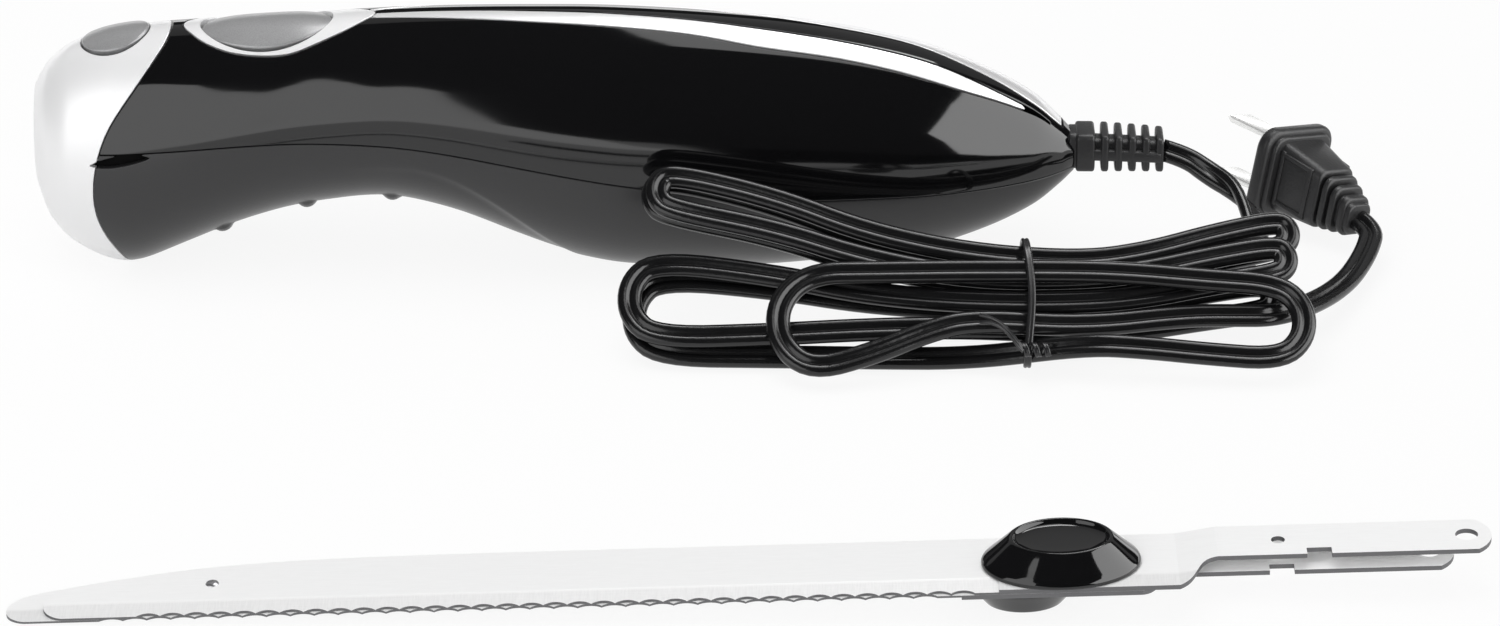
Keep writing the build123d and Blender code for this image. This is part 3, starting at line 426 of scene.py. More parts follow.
def twin_section(offset, radius, half_sweep, steps):
    """Section of two round cores side by side, each an arc that opens towards the other."""
    points = []
    for side in (1, -1):
        for step in range(steps):
            turn = math.radians(-half_sweep + 2 * half_sweep * step / (steps - 1))
            points.append((side * (offset + radius * math.cos(turn)), side * radius * math.sin(turn)))
    return np.array(points)


def sweep(name, line, section, face, finish, roll=None, closed=False):
    """Section carried along a line, its flat side turned to face, or rolled from it."""
    tangent = unit(np.roll(line, -1, 0) - np.roll(line, 1, 0) if closed else np.gradient(line, axis=0))
    across = unit(np.cross(face, tangent))
    upward = np.cross(tangent, across)
    roll = np.zeros(len(line)) if roll is None else roll
    wide, high = section[None, :, 0], section[None, :, 1]
    cosine, sine = np.cos(roll)[:, None], np.sin(roll)[:, None]
    rings = (
        line[:, None, :]
        + (wide * cosine - high * sine)[..., None] * across[:, None, :]
        + (wide * sine + high * cosine)[..., None] * upward[:, None, :]
    )
    return build(name, rings.reshape(-1, 3).tolist(), ring_faces(len(line), len(section), closed), finish)


core_radius = flex_thickness / 2
flex_section = twin_section(flex_width / 2 - core_radius, core_radius, 152, 14)
off_hank = np.array((0, -math.sin(hank_lean), math.cos(hank_lean)))
run = np.concatenate(([0], np.cumsum(np.linalg.norm(np.diff(centre_line, axis=0), axis=1))))
twist = ramp(run - twist_start, twist_length)
twist = math.pi * twist**2 * (3 - 2 * twist)
flex_finish = Finish("flex_black", (0.007, 0.007, 0.0075, 1), 0.2)
flex_finish.mottle(220.0, 0.14, 0.10, detail=3.0)
flex_finish.bump(flex_finish.noise(700.0, 3.0), 0.00003)
power_cord = sweep("power_cord", centre_line, flex_section, off_hank, flex_finish, roll=twist)
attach(power_cord, "handle")
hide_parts("cord_lead", "cord_hank", "cord_tail")

# Upper housing: the gloss black moulded cover of the handle. It runs from the nose cap to
# the tail over the motor, and is cut out for the bezel, the stripes and the side slots.
nose_end, handle_side = -0.1534, 0.07275
handle_length, handle_height, handle_half_width = 0.229, 0.060, 0.021
widest_level = 0.42
wall, seam, rounded_edge = 0.0019, 0.00008, 0.00022
fairing_spread, kept_end = 28.0, 0.06
nose_scales, tail_scales = (0.1, 0.3, 0.5, 0.7, 0.85, 0.95), (0.95, 0.8, 0.5, 0.1)
# Station, underside, crest and half width, as shares of the length, height and half width.
profile = np.array([
    (0.000, 0.300, 0.690, 0.40),
    (0.004, 0.250, 0.722, 0.50),
    (0.013, 0.160, 0.775, 0.64),
    (0.038, 0.060, 0.852, 0.82),
    (0.083, -0.012, 0.908, 0.90),
    (0.135, 0.066, 0.930, 0.90),
    (0.199, 0.172, 0.943, 0.86),
    (0.262, 0.240, 0.960, 0.82),
    (0.331, 0.270, 0.980, 0.82),
    (0.396, 0.215, 0.990, 0.86),
    (0.460, 0.110, 0.993, 0.92),
    (0.520, 0.025, 0.993, 0.97),
    (0.580, -0.014, 0.985, 1.00),
    (0.693, -0.014, 0.953, 1.00),
    (0.754, 0.005, 0.925, 0.97),
    (0.846, 0.045, 0.850, 0.88),
    (0.908, 0.118, 0.760, 0.72),
    (0.960, 0.215, 0.650, 0.52),
    (0.988, 0.305, 0.545, 0.33),
    (1.000, 0.350, 0.495, 0.21),
])


def fair(values, spread):
    """A line of values with its small kinks rubbed out, its two ends kept."""
    reach = int(spread * 3)
    weights = np.exp(-0.5 * (np.arange(-reach, reach + 1) / spread) ** 2)
    before, behind = 2 * values[0] - values[reach:0:-1], 2 * values[-1] - values[-2:-reach - 2:-1]
    return np.convolve(np.concatenate((before, values, behind)), weights / weights.sum(), "valid")


fine_stations = np.linspace(0, 1, 2001)
fine_profile = []
for column in (1, 2, 3):
    stations, values = profile[:, 0], profile[:, column]
    spans = np.diff(stations)
    steps = np.diff(values) / spans
    slopes = np.zeros(len(stations))
    for row in range(1, len(stations) - 1):
        if steps[row - 1] * steps[row] > 0:
            slopes[row] = 2 * steps[row - 1] * steps[row] / (steps[row - 1] + steps[row])
    slopes[0], slopes[-1] = steps[0], steps[-1]
    row = np.clip(np.searchsorted(stations, fine_stations, "right") - 1, 0, len(spans) - 1)
    share = (fine_stations - stations[row]) / spans[row]
    line = (
        (2 * share**3 - 3 * share**2 + 1) * values[row]
        + (share**3 - 2 * share**2 + share) * spans[row] * slopes[row]
        + (3 * share**2 - 2 * share**3) * values[row + 1]
        + (share**3 - share**2) * spans[row] * slopes[row + 1]
    )
    ends = ramp(np.minimum(fine_stations, 1 - fine_stations), kept_end) ** 2
    fine_profile.append(line + (fair(line, fairing_spread) - line) * ends)


def handle_skin(growth, along=300, around=160):
    """Points, faces and outward directions of the handle's whole skin, both ends closed."""
    turns = np.arange(around) * 2 * math.pi / around
    spots = 0.5 - 0.5 * np.cos(np.linspace(0, math.pi, along))
    spots = spots * 0.55 + np.linspace(0, 1, along) * 0.45
    rows = [(0.0, scale) for scale in nose_scales]
    rows += [(spot, 1.0) for spot in spots]
    rows += [(1.0, scale) for scale in tail_scales]
    rings = []
    for spot, scale in rows:
        low, high, half = (np.interp(spot, fine_stations, line) for line in fine_profile)
        low, high, half = low * handle_height, high * handle_height, half * handle_half_width + growth
        middle = low + widest_level * (high - low)
        lift = np.where(np.sin(turns) > 0, high - middle + growth, middle - low + growth)
        end = {0: -growth, 1: growth}.get(spot, 0.0)
        ring = np.empty((around, 3))
        ring[:, 0] = nose_end + spot * handle_length + end
        ring[:, 1] = handle_side + half * np.cos(turns) * scale
        ring[:, 2] = np.maximum(middle + lift * np.sin(turns) * scale, -growth if growth < 0 else 0.0)
        rings.append(ring)
    rings = np.array(rings)
    along_way = np.gradient(rings, axis=0)
    around_way = (np.roll(rings, -1, axis=1) - np.roll(rings, 1, axis=1)) / 2
    normals = unit(np.cross(around_way, along_way).reshape(-1, 3))
    normals[:len(nose_scales) * around] = (-1, 0, 0)
    normals[-len(tail_scales) * around:] = (1, 0, 0)
    return rings.reshape(-1, 3), ring_faces(len(rows), around), normals


def smooth_outline(corners, count=240, closed=True):
    """Dense even outline of a smooth curve through a few corners."""
    corners = np.array(corners, float)
    if closed:
        corners = np.concatenate((corners[-3:], corners, corners[:3]))
    lengths = np.concatenate(([0], np.cumsum(np.linalg.norm(np.diff(corners, axis=0), axis=1) ** 0.5)))
    size = len(corners)
    matrix = np.zeros((size, size))
    target = np.zeros((size, corners.shape[1]))
    matrix[0, 0] = matrix[-1, -1] = 1
    for row in range(1, size - 1):
        before, after = lengths[row] - lengths[row - 1], lengths[row + 1] - lengths[row]
        matrix[row, row - 1:row + 2] = before, 2 * (before + after), after
        ahead, behind = (corners[row + 1] - corners[row]) / after, (corners[row] - corners[row - 1]) / before
        target[row] = 6 * (ahead - behind)
    bends = np.linalg.solve(matrix, target)
    start, stop = (lengths[3], lengths[-3]) if closed else (lengths[0], lengths[-1])
    places = np.linspace(start, stop, count, endpoint=not closed)
    row = np.clip(np.searchsorted(lengths, places, "right") - 1, 0, size - 2)
    gap = (lengths[row + 1] - lengths[row])[:, None]
    low = (lengths[row + 1] - places)[:, None] / gap
    high = 1 - low
    return (
        low * corners[row] + high * corners[row + 1]
        + gap**2 / 6 * ((low**3 - low) * bends[row] + (high**3 - high) * bends[row + 1])
    )


def distance_inside(places, outline):
    """Distance of flat places to an outline, more than nought inside it."""
    starts, ends = outline, np.roll(outline, -1, axis=0)
    result = np.empty(len(places))
    for first in range(0, len(places), 4000):
        spots = places[first:first + 4000, None, :]
        legs = (ends - starts)[None]
        share = np.clip(((spots - starts) * legs).sum(2) / ((legs**2).sum(2) + 1e-18), 0, 1)
        gaps = np.linalg.norm(spots - starts - share[..., None] * legs, axis=2).min(1)
        crosses = (starts[None, :, 1] > spots[..., 1]) != (ends[None, :, 1] > spots[..., 1])
        rise = np.where(ends[:, 1] == starts[:, 1], 1e-12, ends[:, 1] - starts[:, 1])
        reach = (ends - starts)[None, :, 0] * (spots[..., 1] - starts[None, :, 1]) / rise + starts[None, :, 0]
        inside = (crosses & (spots[..., 0] < reach)).sum(1) % 2 == 1
        result[first:first + 4000] = np.where(inside, gaps, -gaps)
    return result


def raise_skin(skin, height):
    """A skin moved along its own directions by height, its directions found afresh."""
    points, faces, normals = skin
    points = points + normals * height(points)[:, None]
    quads = np.array([face for face in faces if len(face) == 4])
    across = np.cross(points[quads[:, 2]] - points[quads[:, 0]], points[quads[:, 3]] - points[quads[:, 1]])
    found = np.zeros_like(points)
    for column in range(4):
        np.add.at(found, quads[:, column], across)
    length = np.linalg.norm(found, axis=1)[:, None]
    return points, faces, np.where(length > 1e-12, found / (length + 1e-15), normals)


def trim(skin, worth):
    """The part of a skin where worth is more than nought, cut cleanly along its edge."""
    points, faces, normals = skin
    value = worth(points)
    value[np.abs(value) < 0.00003] = 0.0
    points, normals = list(points), list(normals)
    made = {}
    kept = []
    sign = np.sign(value)
    for face in faces:
        signs = sign[list(face)]
        if signs.min() >= 0:
            if signs.max() > 0:
                kept.append(face)
            continue
        if signs.max() <= 0:
            continue
        outline = []
        for here, there in zip(face, face[1:] + face[:1]):
            if sign[here] >= 0:
                outline.append(here)
            if sign[here] * sign[there] < 0:
                pair = (min(here, there), max(here, there))
                if pair not in made:
                    share = value[pair[0]] / (value[pair[0]] - value[pair[1]])
                    made[pair] = len(points)
                    points.append(points[pair[0]] * (1 - share) + points[pair[1]] * share)
                    across = normals[pair[0]] * (1 - share) + normals[pair[1]] * share
                    normals.append(across / np.linalg.norm(across))
                outline.append(made[pair])
        if len(outline) > 2:
            kept.append(tuple(outline))
    used = np.unique(np.concatenate([np.array(face) for face in kept]))
    renumber = np.full(len(points), -1)
    renumber[used] = np.arange(len(used))
    points, normals = np.array(points)[used], np.array(normals)[used]
    return points, [tuple(int(renumber[corner]) for corner in face) for face in kept], normals


def rims(faces):
    """Open edges of a skin, as loops of its corners in order."""
    seen = {pair for face in faces for pair in zip(face, face[1:] + face[:1])}
    follower = {here: there for here, there in seen if (there, here) not in seen}
    loops = []
    waiting = set(follower)
    while waiting:
        loop = [waiting.pop()]
        while follower[loop[-1]] in waiting:
            loop.append(follower[loop[-1]])
            waiting.discard(loop[-1])
        if follower[loop[-1]] == loop[0] and len(loop) > 2:
            loops.append(np.array(loop))
    return loops


def shell(name, skin, finish, thickness=wall, edge=rounded_edge, edge_steps=3, upright=None):
    """Closed moulding made from a trimmed skin: rounded edges, side walls and an inner face.

    Where upright is one, its walls stand along Z, as round an opening for a moving cap."""
    points, faces, normals = skin
    inward = normals
    if upright is not None:
        share = upright(points)[:, None]
        inward = unit(normals * (1 - share) + np.array((0, 0, 1)) * share)
    inner = points - inward * thickness
    all_points, all_faces = [points], list(faces)
    corner_normals = [normals[corner] for face in faces for corner in face]
    under = np.arange(len(points))
    extra = len(points)
    for loop in rims(faces):
        chain, up = points[loop], normals[loop]
        ahead = unit(np.roll(chain, -1, axis=0) - chain)
        travel = ahead + np.roll(ahead, 1, axis=0)
        for _ in range(3):
            travel = unit(travel + 0.5 * (np.roll(travel, 1, axis=0) + np.roll(travel, -1, axis=0)))
        out = unit(np.cross(travel, up))
        rows, row_normals = [loop], [up]
        for step in range(1, edge_steps + 2):
            turn = min(step / edge_steps, 1.0) * math.pi / 2
            place = chain + out * edge * math.sin(turn) - up * edge * (1 - math.cos(turn))
            if step > edge_steps:
                place = inner[loop] + out * edge
            all_points.append(place)
            rows.append(np.arange(extra, extra + len(loop)))
            row_normals.append(up * math.cos(turn) + out * math.sin(turn))
            extra += len(loop)
        for row in range(len(rows) - 1):
            for spot in range(len(loop)):
                after = (spot + 1) % len(loop)
                corners = ((row, after), (row, spot), (row + 1, spot), (row + 1, after))
                all_faces.append(tuple(int(rows[level][turn]) for level, turn in corners))
                corner_normals += [row_normals[level][turn] for level, turn in corners]
        under[loop] = rows[-1]
    free = np.flatnonzero(under == np.arange(len(points)))
    under[free] = extra + np.arange(len(free))
    all_points.append(inner[free])
    for face in faces:
        turned = face[::-1]
        all_faces.append(tuple(int(under[corner]) for corner in turned))
        corner_normals += [-normals[corner] for corner in turned]
    made = build(name, np.concatenate(all_points).tolist(), all_faces, finish)
    made.data.normals_split_custom_set([tuple(direction) for direction in corner_normals])
    return made


def from_side(points):
    return points[:, [0, 2]]


def from_above(points):
    return points[:, [0, 1]]


def kept_inside(skin, view, outline, gap):
    """Part of a skin within an outline drawn in one view, short of it by a gap."""
    return trim(skin, lambda points: distance_inside(view(points), outline) - gap)


def kept_outside(skin, view, outline, gap):
    """Part of a skin beyond an outline drawn in one view, clear of it by a gap."""
    return trim(skin, lambda points: -distance_inside(view(points), outline) - gap)


def kept_above(skin, level):
    """Part of a skin above a level."""
    return trim(skin, lambda points: points[:, 2] - level)


def beside(outline, reach=0.0035):
    """One near an outline drawn in plan on the crest of the handle, and nought away from it."""
    def share(points):
        near = 1 + distance_inside(from_above(points), outline) / reach
        return ramp(near, 0.5) * (points[:, 2] > 0.03)

    return share


def side_places(shares):
    """Places in side view from shares of the handle's length and height."""
    return np.array([(nose_end + a * handle_length, b * handle_height) for a, b in shares])


def plan_places(places):
    """Places in plan from X and the distance to the far side of the handle's middle."""
    return [(x, handle_side + y) for x, y in places]


def oval(station, length, width, count=200):
    """Oval in plan, its middle at a distance from the nose."""
    turns = np.arange(count) * 2 * math.pi / count
    places = (nose_end + station + length / 2 * np.cos(turns), handle_side + width / 2 * np.sin(turns))
    return np.stack(places, axis=1)


# Parting line between the housings, and the rear edge of the nose cap, both in side view.
split_line = smooth_outline(side_places([
    (-0.10, 0.540), (0.055, 0.540), (0.110, 0.552), (0.245, 0.583), (0.367, 0.562), (0.445, 0.517),
    (0.528, 0.463), (0.590, 0.430), (0.712, 0.382), (0.800, 0.378), (0.908, 0.380), (1.10, 0.405),
]), closed=False)
above_split = np.concatenate((split_line, [(split_line[-1][0], 0.12), (split_line[0][0], 0.12)]))
cap_line = smooth_outline(side_places([
    (0.148, 1.05), (0.1338, 0.929), (0.1215, 0.870), (0.1061, 0.798), (0.0909, 0.722), (0.0765, 0.640),
    (0.0655, 0.540), (0.0598, 0.430), (0.0604, 0.312), (0.0693, 0.196), (0.0812, 0.088), (0.092, -0.08),
]), closed=False)
ahead_of_cap = np.concatenate((cap_line, [(-0.2, cap_line[-1][1]), (-0.2, cap_line[0][1])]))
side_slot = smooth_outline(side_places([
    (0.0557, 0.499), (0.0688, 0.525), (0.0882, 0.543), (0.1073, 0.545),
    (0.1149, 0.537), (0.1073, 0.521), (0.0876, 0.500), (0.0683, 0.491),
]))

# Teardrop round the trigger, and the two stripes that run back from it, in plan.
bezel_rim = [
    (-0.1182, 0.0038), (-0.1161, 0.0058), (-0.1120, 0.0079), (-0.1075, 0.0091), (-0.1013, 0.0097),
    (-0.0970, 0.0096), (-0.0935, 0.0089), (-0.0864, 0.0064), (-0.0827, 0.0045), (-0.0795, 0.0022),
]
bezel_outline = smooth_outline(plan_places(
    [(-0.1203, 0)] + [(x, -y) for x, y in bezel_rim] + [(-0.0779, 0)] + bezel_rim[::-1]
))
near_stripe_low = [
    (-0.0815, -0.0018), (-0.0550, -0.0037), (-0.0292, -0.0055), (-0.0073, -0.0068), (0.0056, -0.0083),
    (0.0204, -0.0087), (0.0374, -0.0089), (0.0486, -0.0086), (0.0598, -0.0070), (0.0650, -0.0059),
    (0.0700, -0.0046),
]
near_stripe_high = [
    (-0.0815, -0.0002), (-0.0550, -0.0004), (-0.0292, -0.0014), (-0.0073, -0.0025), (0.0056, -0.0036),
    (0.0204, -0.0044), (0.0374, -0.0048), (0.0486, -0.0051), (0.0598, -0.0054), (0.0700, -0.0044),
]
far_stripe_low = [
    (-0.0815, 0.0006), (-0.0700, 0.0034), (-0.0550, 0.0052), (-0.0292, 0.0059), (-0.0075, 0.0046),
    (0.0206, 0.0011), (0.0375, 0.0004), (0.0487, -0.0013), (0.0600, -0.0027), (0.0675, -0.0031),
    (0.0730, -0.0022),
]
far_stripe_high = [
    (-0.0815, 0.0018), (-0.0700, 0.0052), (-0.0550, 0.0070), (-0.0292, 0.0082), (-0.0073, 0.0086),
    (0.0204, 0.0087), (0.0374, 0.0087), (0.0486, 0.0082), (0.0598, 0.0068), (0.0675, 0.0048),
    (0.0730, 0.0016),
]
stripe_outlines = {}
for word, low, high in (
    ("near", near_stripe_low, near_stripe_high),
    ("far", far_stripe_low, far_stripe_high),
):
    low, high = (smooth_outline(plan_places(edge), closed=False) for edge in (low, high))
    stripe_outlines[word] = np.concatenate((low, high[::-1]))
trigger_oval = (0.0515, 0.0292, 0.0176)
button_oval = (0.0181, 0.0154, 0.0138)
margin, slot_gap = seam + rounded_edge, 0.0001
whole = handle_skin(0.0)
cover = kept_outside(whole, from_side, ahead_of_cap, margin)
cover = kept_inside(cover, from_side, above_split, margin)
cover = kept_outside(cover, from_side, side_slot, slot_gap)
for outline in (bezel_outline, *stripe_outlines.values()):
    cover = kept_outside(cover, from_above, outline, margin)
gloss_black = Finish("gloss_black", (0.0045, 0.0045, 0.005, 1), 0.07, ior=1.55)
gloss_black.mottle(60.0, 0.045, 0.03)
upper_housing = shell("upper_housing_cover", cover, gloss_black)
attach(upper_housing, "handle")
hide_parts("upper_housing")

# Lower housing: the satin black moulded tray under the motor, with the finger scoop and
# three soft nubs across it for grip, and a near-black liner behind the side slots: painted shade
# for the dark inside of the slots.
nub_height, nub_half_width, nub_reach = 0.0011, 0.0019, 0.0095
nub_stations = (0.0410, 0.0596, 0.0783)
underside_depth, nub_fade = 0.009, 0.002
scoop_depth, scoop_fade = 0.00045, 0.0022
scoop_start, scoop_lead = 0.066, 0.035
slot_depth, liner_lap = 0.0020, 0.0012
scoop_edge = smooth_outline(side_places([
    (0.365, 0.486), (0.3985, 0.448), (0.4453, 0.333), (0.4829, 0.204), (0.5162, 0.080), (0.530, 0.02),
]), closed=False)
under_scoop_edge = np.concatenate((
    scoop_edge, [(scoop_edge[-1][0], -0.03), (-0.15, -0.03), (-0.15, scoop_edge[0][1])]
))


def tray_relief(points):
    """Rise of the three nubs, and the slight fall of the finger scoop behind its edge."""
    stations = points[:, 0] - nose_end
    underside = np.interp(stations / handle_length, fine_stations, fine_profile[0]) * handle_height
    low = ramp(underside + underside_depth - points[:, 2], nub_fade)
    across = ramp(nub_reach - np.abs(points[:, 1] - handle_side), nub_fade)
    rise = np.zeros(len(points))
    for station in nub_stations:
        along = np.clip(1 - ((stations - station) / nub_half_width) ** 2, 0, 1) ** 0.7
        rise += nub_height * along * np.sqrt(across) * low
    depth = ramp(distance_inside(from_side(points), under_scoop_edge), scoop_fade)
    return rise - scoop_depth * depth * (2 - depth) * ramp(stations - scoop_start, scoop_lead)


tray = raise_skin(handle_skin(0.0, along=460, around=220), tray_relief)
tray = kept_outside(tray, from_side, ahead_of_cap, margin)
tray = kept_outside(tray, from_side, above_split, margin)
tray = kept_outside(tray, from_side, side_slot, slot_gap)
satin_dark = Finish("satin_dark", (0.022, 0.022, 0.023, 1), 0.32)
satin_dark.mottle(400.0, 0.27, 0.06)
satin_dark.bump(satin_dark.noise(2600.0), 0.00002)
lower_housing = shell("lower_housing_tray", tray, satin_dark)
# Slot liner: a near-black matte sheet behind each side slot, painted shade for the dark inside of the slot.
slot_floor = kept_inside(handle_skin(-slot_depth, along=500, around=220), from_side, side_slot, -liner_lap)
slot_shade_black = Finish("slot_shade_black", (0.003, 0.003, 0.003, 1), 0.8, specular_ior_level=0.1)
slot_shade_black.mottle(500.0, 0.7, 0.2)
slot_liner = shell("side_slot_shade_liner", slot_floor, slot_shade_black, thickness=0.0004, edge=0.0001)
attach(slot_liner, "handle")
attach(lower_housing, "handle")
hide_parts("lower_housing")

# Nose cap: silver lacquered moulding over the front end, with the slot for the two tangs
# and the opening for the release button.
mouth_half_width, mouth_low, mouth_high, mouth_zone = 0.0026, 0.024, 0.038, 0.004
crest_level, button_gap = 0.035, 0.0003
mouth_outline = np.array([
    (handle_side - mouth_half_width, mouth_low), (handle_side + mouth_half_width, mouth_low),
    (handle_side + mouth_half_width, mouth_high), (handle_side - mouth_half_width, mouth_high),
])
button_hole = oval(*button_oval)
cap_skin = kept_inside(whole, from_side, ahead_of_cap, margin)
cap_skin = kept_outside(cap_skin, from_side, side_slot, slot_gap)
cap_skin = trim(cap_skin, lambda points: np.maximum(
    -distance_inside(from_above(points), button_hole) - button_gap, crest_level - points[:, 2]
))
cap_skin = trim(cap_skin, lambda points: np.maximum(
    -distance_inside(points[:, [1, 2]], mouth_outline), points[:, 0] - nose_end - mouth_zone
))
satin_silver = Finish("satin_silver", (0.87, 0.87, 0.875, 1), 0.34, metallic=0.22)
satin_silver.mottle(900.0, 0.30, 0.08)
satin_silver.bump(satin_silver.noise(9000.0, 1.0), 0.000012)
nose_cap = shell("nose_cap_moulding", cap_skin, satin_silver, upright=beside(button_hole))
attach(nose_cap, "handle")
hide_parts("nose_cap")

# Bezel: the silver lacquered teardrop round the trigger, a thin plastic moulding let into
# the cover, with a narrow gap round the trigger.
trigger_gap, surround_edge = 0.0002, 0.00018
trigger_hole = oval(*trigger_oval)
ring_skin = kept_above(kept_inside(whole, from_above, bezel_outline, margin), crest_level)
ring_skin = kept_outside(ring_skin, from_above, trigger_hole, trigger_gap)
bezel = shell("trigger_surround", ring_skin, satin_silver, edge=surround_edge, upright=beside(trigger_hole))
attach(bezel, "handle")
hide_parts("trigger_bezel")

# Stripes: two thin strips of silver lacquered plastic, let into grooves in the cover, that
# run back from the bezel to the tail.
stripe_floor, stripe_thickness = 0.0215, 0.001
stripe_silver = Finish("stripe_silver", (0.86, 0.86, 0.865, 1), 0.3, metallic=0.45)
stripe_silver.mottle(900.0, 0.27, 0.06)
stripe_silver.bump(stripe_silver.noise(1200.0, 1.0), 0.000004)
for word, outline in stripe_outlines.items():
    strip = kept_above(kept_inside(whole, from_above, outline, margin), stripe_floor)
    strip = kept_outside(strip, from_above, bezel_outline, margin)
    stripe = shell("silver_stripe_" + word, strip, stripe_silver, thickness=stripe_thickness)
    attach(stripe, "handle")
    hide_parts("trim_stripe_" + word)

# Trigger and release button: grey satin caps that stand a little proud in their openings,
# each with a broad rounded edge and upright walls.
cap_depth, cap_gap = 0.004, 0.0001
satin_grey = Finish("satin_grey", (0.25, 0.25, 0.255, 1), 0.34, metallic=0.35)
flakes = satin_grey.noise(5200.0, 1.0)
flake_tone = flakes.blend((0.25, 0.25, 0.255, 1), (0.46, 0.46, 0.465, 1))
satin_grey.feed(base_color=flake_tone, roughness=flakes * 0.12 + 0.28)
satin_grey.bump(flakes, 0.00001)
for name, body, node, proud, dip, edge, place in (
    ("trigger_cap", "trigger", "power_trigger", 0.0005, 0.0016, 0.0006, trigger_oval),
    ("release_cap", "release", "release_button", 0.0007, 0.0004, 0.0005, button_oval),
):
    station, length, width = place
    pad = raise_skin(
        handle_skin(proud, along=700, around=320),
        lambda points: -dip * np.clip(np.abs(points[:, 0] - nose_end - station) / length * 2, 0, 1) ** 3,
    )
    pad = kept_above(kept_inside(pad, from_above, oval(*place), edge + cap_gap), crest_level)
    upright_walls = {"thickness": cap_depth, "upright": lambda points: np.ones(len(points))}
    cap = shell(name, pad, satin_grey, edge=edge, edge_steps=6, **upright_walls)
    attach(cap, body)
    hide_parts(node)

# Strain relief: black rubber sleeve moulded on the flex, a collar and five square ribs
# joined by a thin web at each side, held in the tail of the handle.
relief_root, relief_level, relief_side = 0.0756, 0.0262, 0.0088
relief_collar, relief_length, relief_ribs = 0.0046, 0.0198, 5
relief_droop, rib_share, rib_taper = 0.0007, 0.56, 0.02
web_share, web_drop = 0.36, -0.0004


def smooth_by_angle(name, points, faces, finish, degrees=32.0):
    """Object from a mesh, smooth but for edges sharper than an angle."""
    made = build(name, [tuple(point) for point in points], faces, finish)
    made.data.set_sharp_from_angle(angle=math.radians(degrees))
    return made


def tower(rows, place, arc_steps=5):
    """Points and faces of rounded rectangles (distance, width, height, rounding) on one axis."""
    points = []
    for distance, width, height, rounding in rows:
        rounding = min(rounding, width / 2 * 0.98, height / 2 * 0.98)
        for corner, (side, rise) in enumerate(((1, 1), (-1, 1), (-1, -1), (1, -1))):
            for step in range(arc_steps + 1):
                turn = math.pi / 2 * (corner + step / arc_steps)
                wide = side * (width / 2 - rounding) + rounding * math.cos(turn)
                high = rise * (height / 2 - rounding) + rounding * math.sin(turn)
                points.append(place(distance, wide, high))
    return points, ring_faces(len(rows), 4 * (arc_steps + 1))


def slab(start, end, width, height, rounding, bevel, end_width=None, end_height=None):
    """Rows of one slab along the axis, with its edges rounded."""
    rows = []
    sides = ((start, 1, width, height), (end, -1, end_width or width, end_height or height))
    for face, inward, wide, high in sides:
        for turn in (0, 22.5, 45, 67.5, 90)[::inward]:
            inset = bevel * (1 - math.sin(math.radians(turn)))
            back = bevel * (1 - math.cos(math.radians(turn)))
            rows.append((face + inward * back, wide - 2 * inset, high - 2 * inset, rounding))
    return rows


def heap(parts):
    """Several closed meshes as one."""
    points, faces = [], []
    for some_points, some_faces in parts:
        faces += [tuple(corner + len(points) for corner in face) for face in some_faces]
        points += some_points
    return points, faces


def shifted(place, sideways, upwards):
    """A placing function moved sideways and upwards."""
    return lambda distance, wide, high: place(distance, wide + sideways, high + upwards)


def on_sleeve(distance, wide, high):
    droop = relief_droop * (distance / relief_length) ** 2
    return (relief_root + distance, handle_side + wide, relief_level + high - droop)


sleeve_rows = [
    slab(-0.0012, 0.0016, 0.0078, 0.0086, 0.0020, 0.0004),
    slab(0.0004, relief_collar, relief_side, relief_side * 1.03, 0.0012, 0.0006),
    [(0.0, 0.0056, 0.0056, 0.0018), (relief_length, 0.0052, 0.0050, 0.0018)],
]
rib_pitch = (relief_length - relief_collar) / relief_ribs
for index in range(relief_ribs):
    end = relief_collar + rib_pitch * (index + 1)
    size = relief_side * (1 - rib_taper * index)
    sleeve_rows.append(slab(end - rib_pitch * rib_share, end, size, size, 0.0010, 0.00055))
sleeve_parts = [tower(rows, on_sleeve) for rows in sleeve_rows]
web_rows = slab(relief_collar * 0.7, relief_length - 0.0006, 0.0021, 0.0026, 0.0006, 0.0003)
for side in (-1, 1):
    sleeve_parts.append(tower(web_rows, shifted(on_sleeve, side * relief_side * web_share, web_drop)))
moulded_black = Finish("plug_black", (0.016, 0.016, 0.017, 1), 0.42)
moulded_black.mottle(300.0, 0.34, 0.16, detail=3.0)
moulded_black.bump(moulded_black.noise(1500.0, 2.0), 0.00005)
sleeve = smooth_by_angle("flex_sleeve", *heap(sleeve_parts), moulded_black)
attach(sleeve, "handle")
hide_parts("strain_relief")

# Plug: black two-pin mains plug moulded on the end of the flex, with a stepped grip, a
# panel sunk in each side, a square flange and two flat plated prongs.
plug_place = Vector((0.1390, 0.0732, 0.0121))
plug_roll = math.radians(14.0)
plug_sag, sag_reach = 0.0040, 0.0185
plug_ahead = Vector((-0.656, 0.755, 0.0)).normalized()
plug_level = Vector((0, 0, 1)).cross(plug_ahead)
plug_side = plug_level * math.cos(plug_roll) + Vector((0, 0, math.sin(plug_roll)))
plug_up = plug_ahead.cross(plug_side)
panel_start, panel_end, panel_half_height = 0.0096, 0.0182, 0.0055
panel_side, panel_taper = 0.0059, 0.115
half_prong_spacing = 0.00635


def on_plug(distance, wide, high):
    sag = plug_sag * min(1, max(0, 1 - distance / sag_reach)) ** 1.4
    return tuple(plug_place + plug_ahead * distance + plug_side * wide + plug_up * high - Vector((0, 0, sag)))


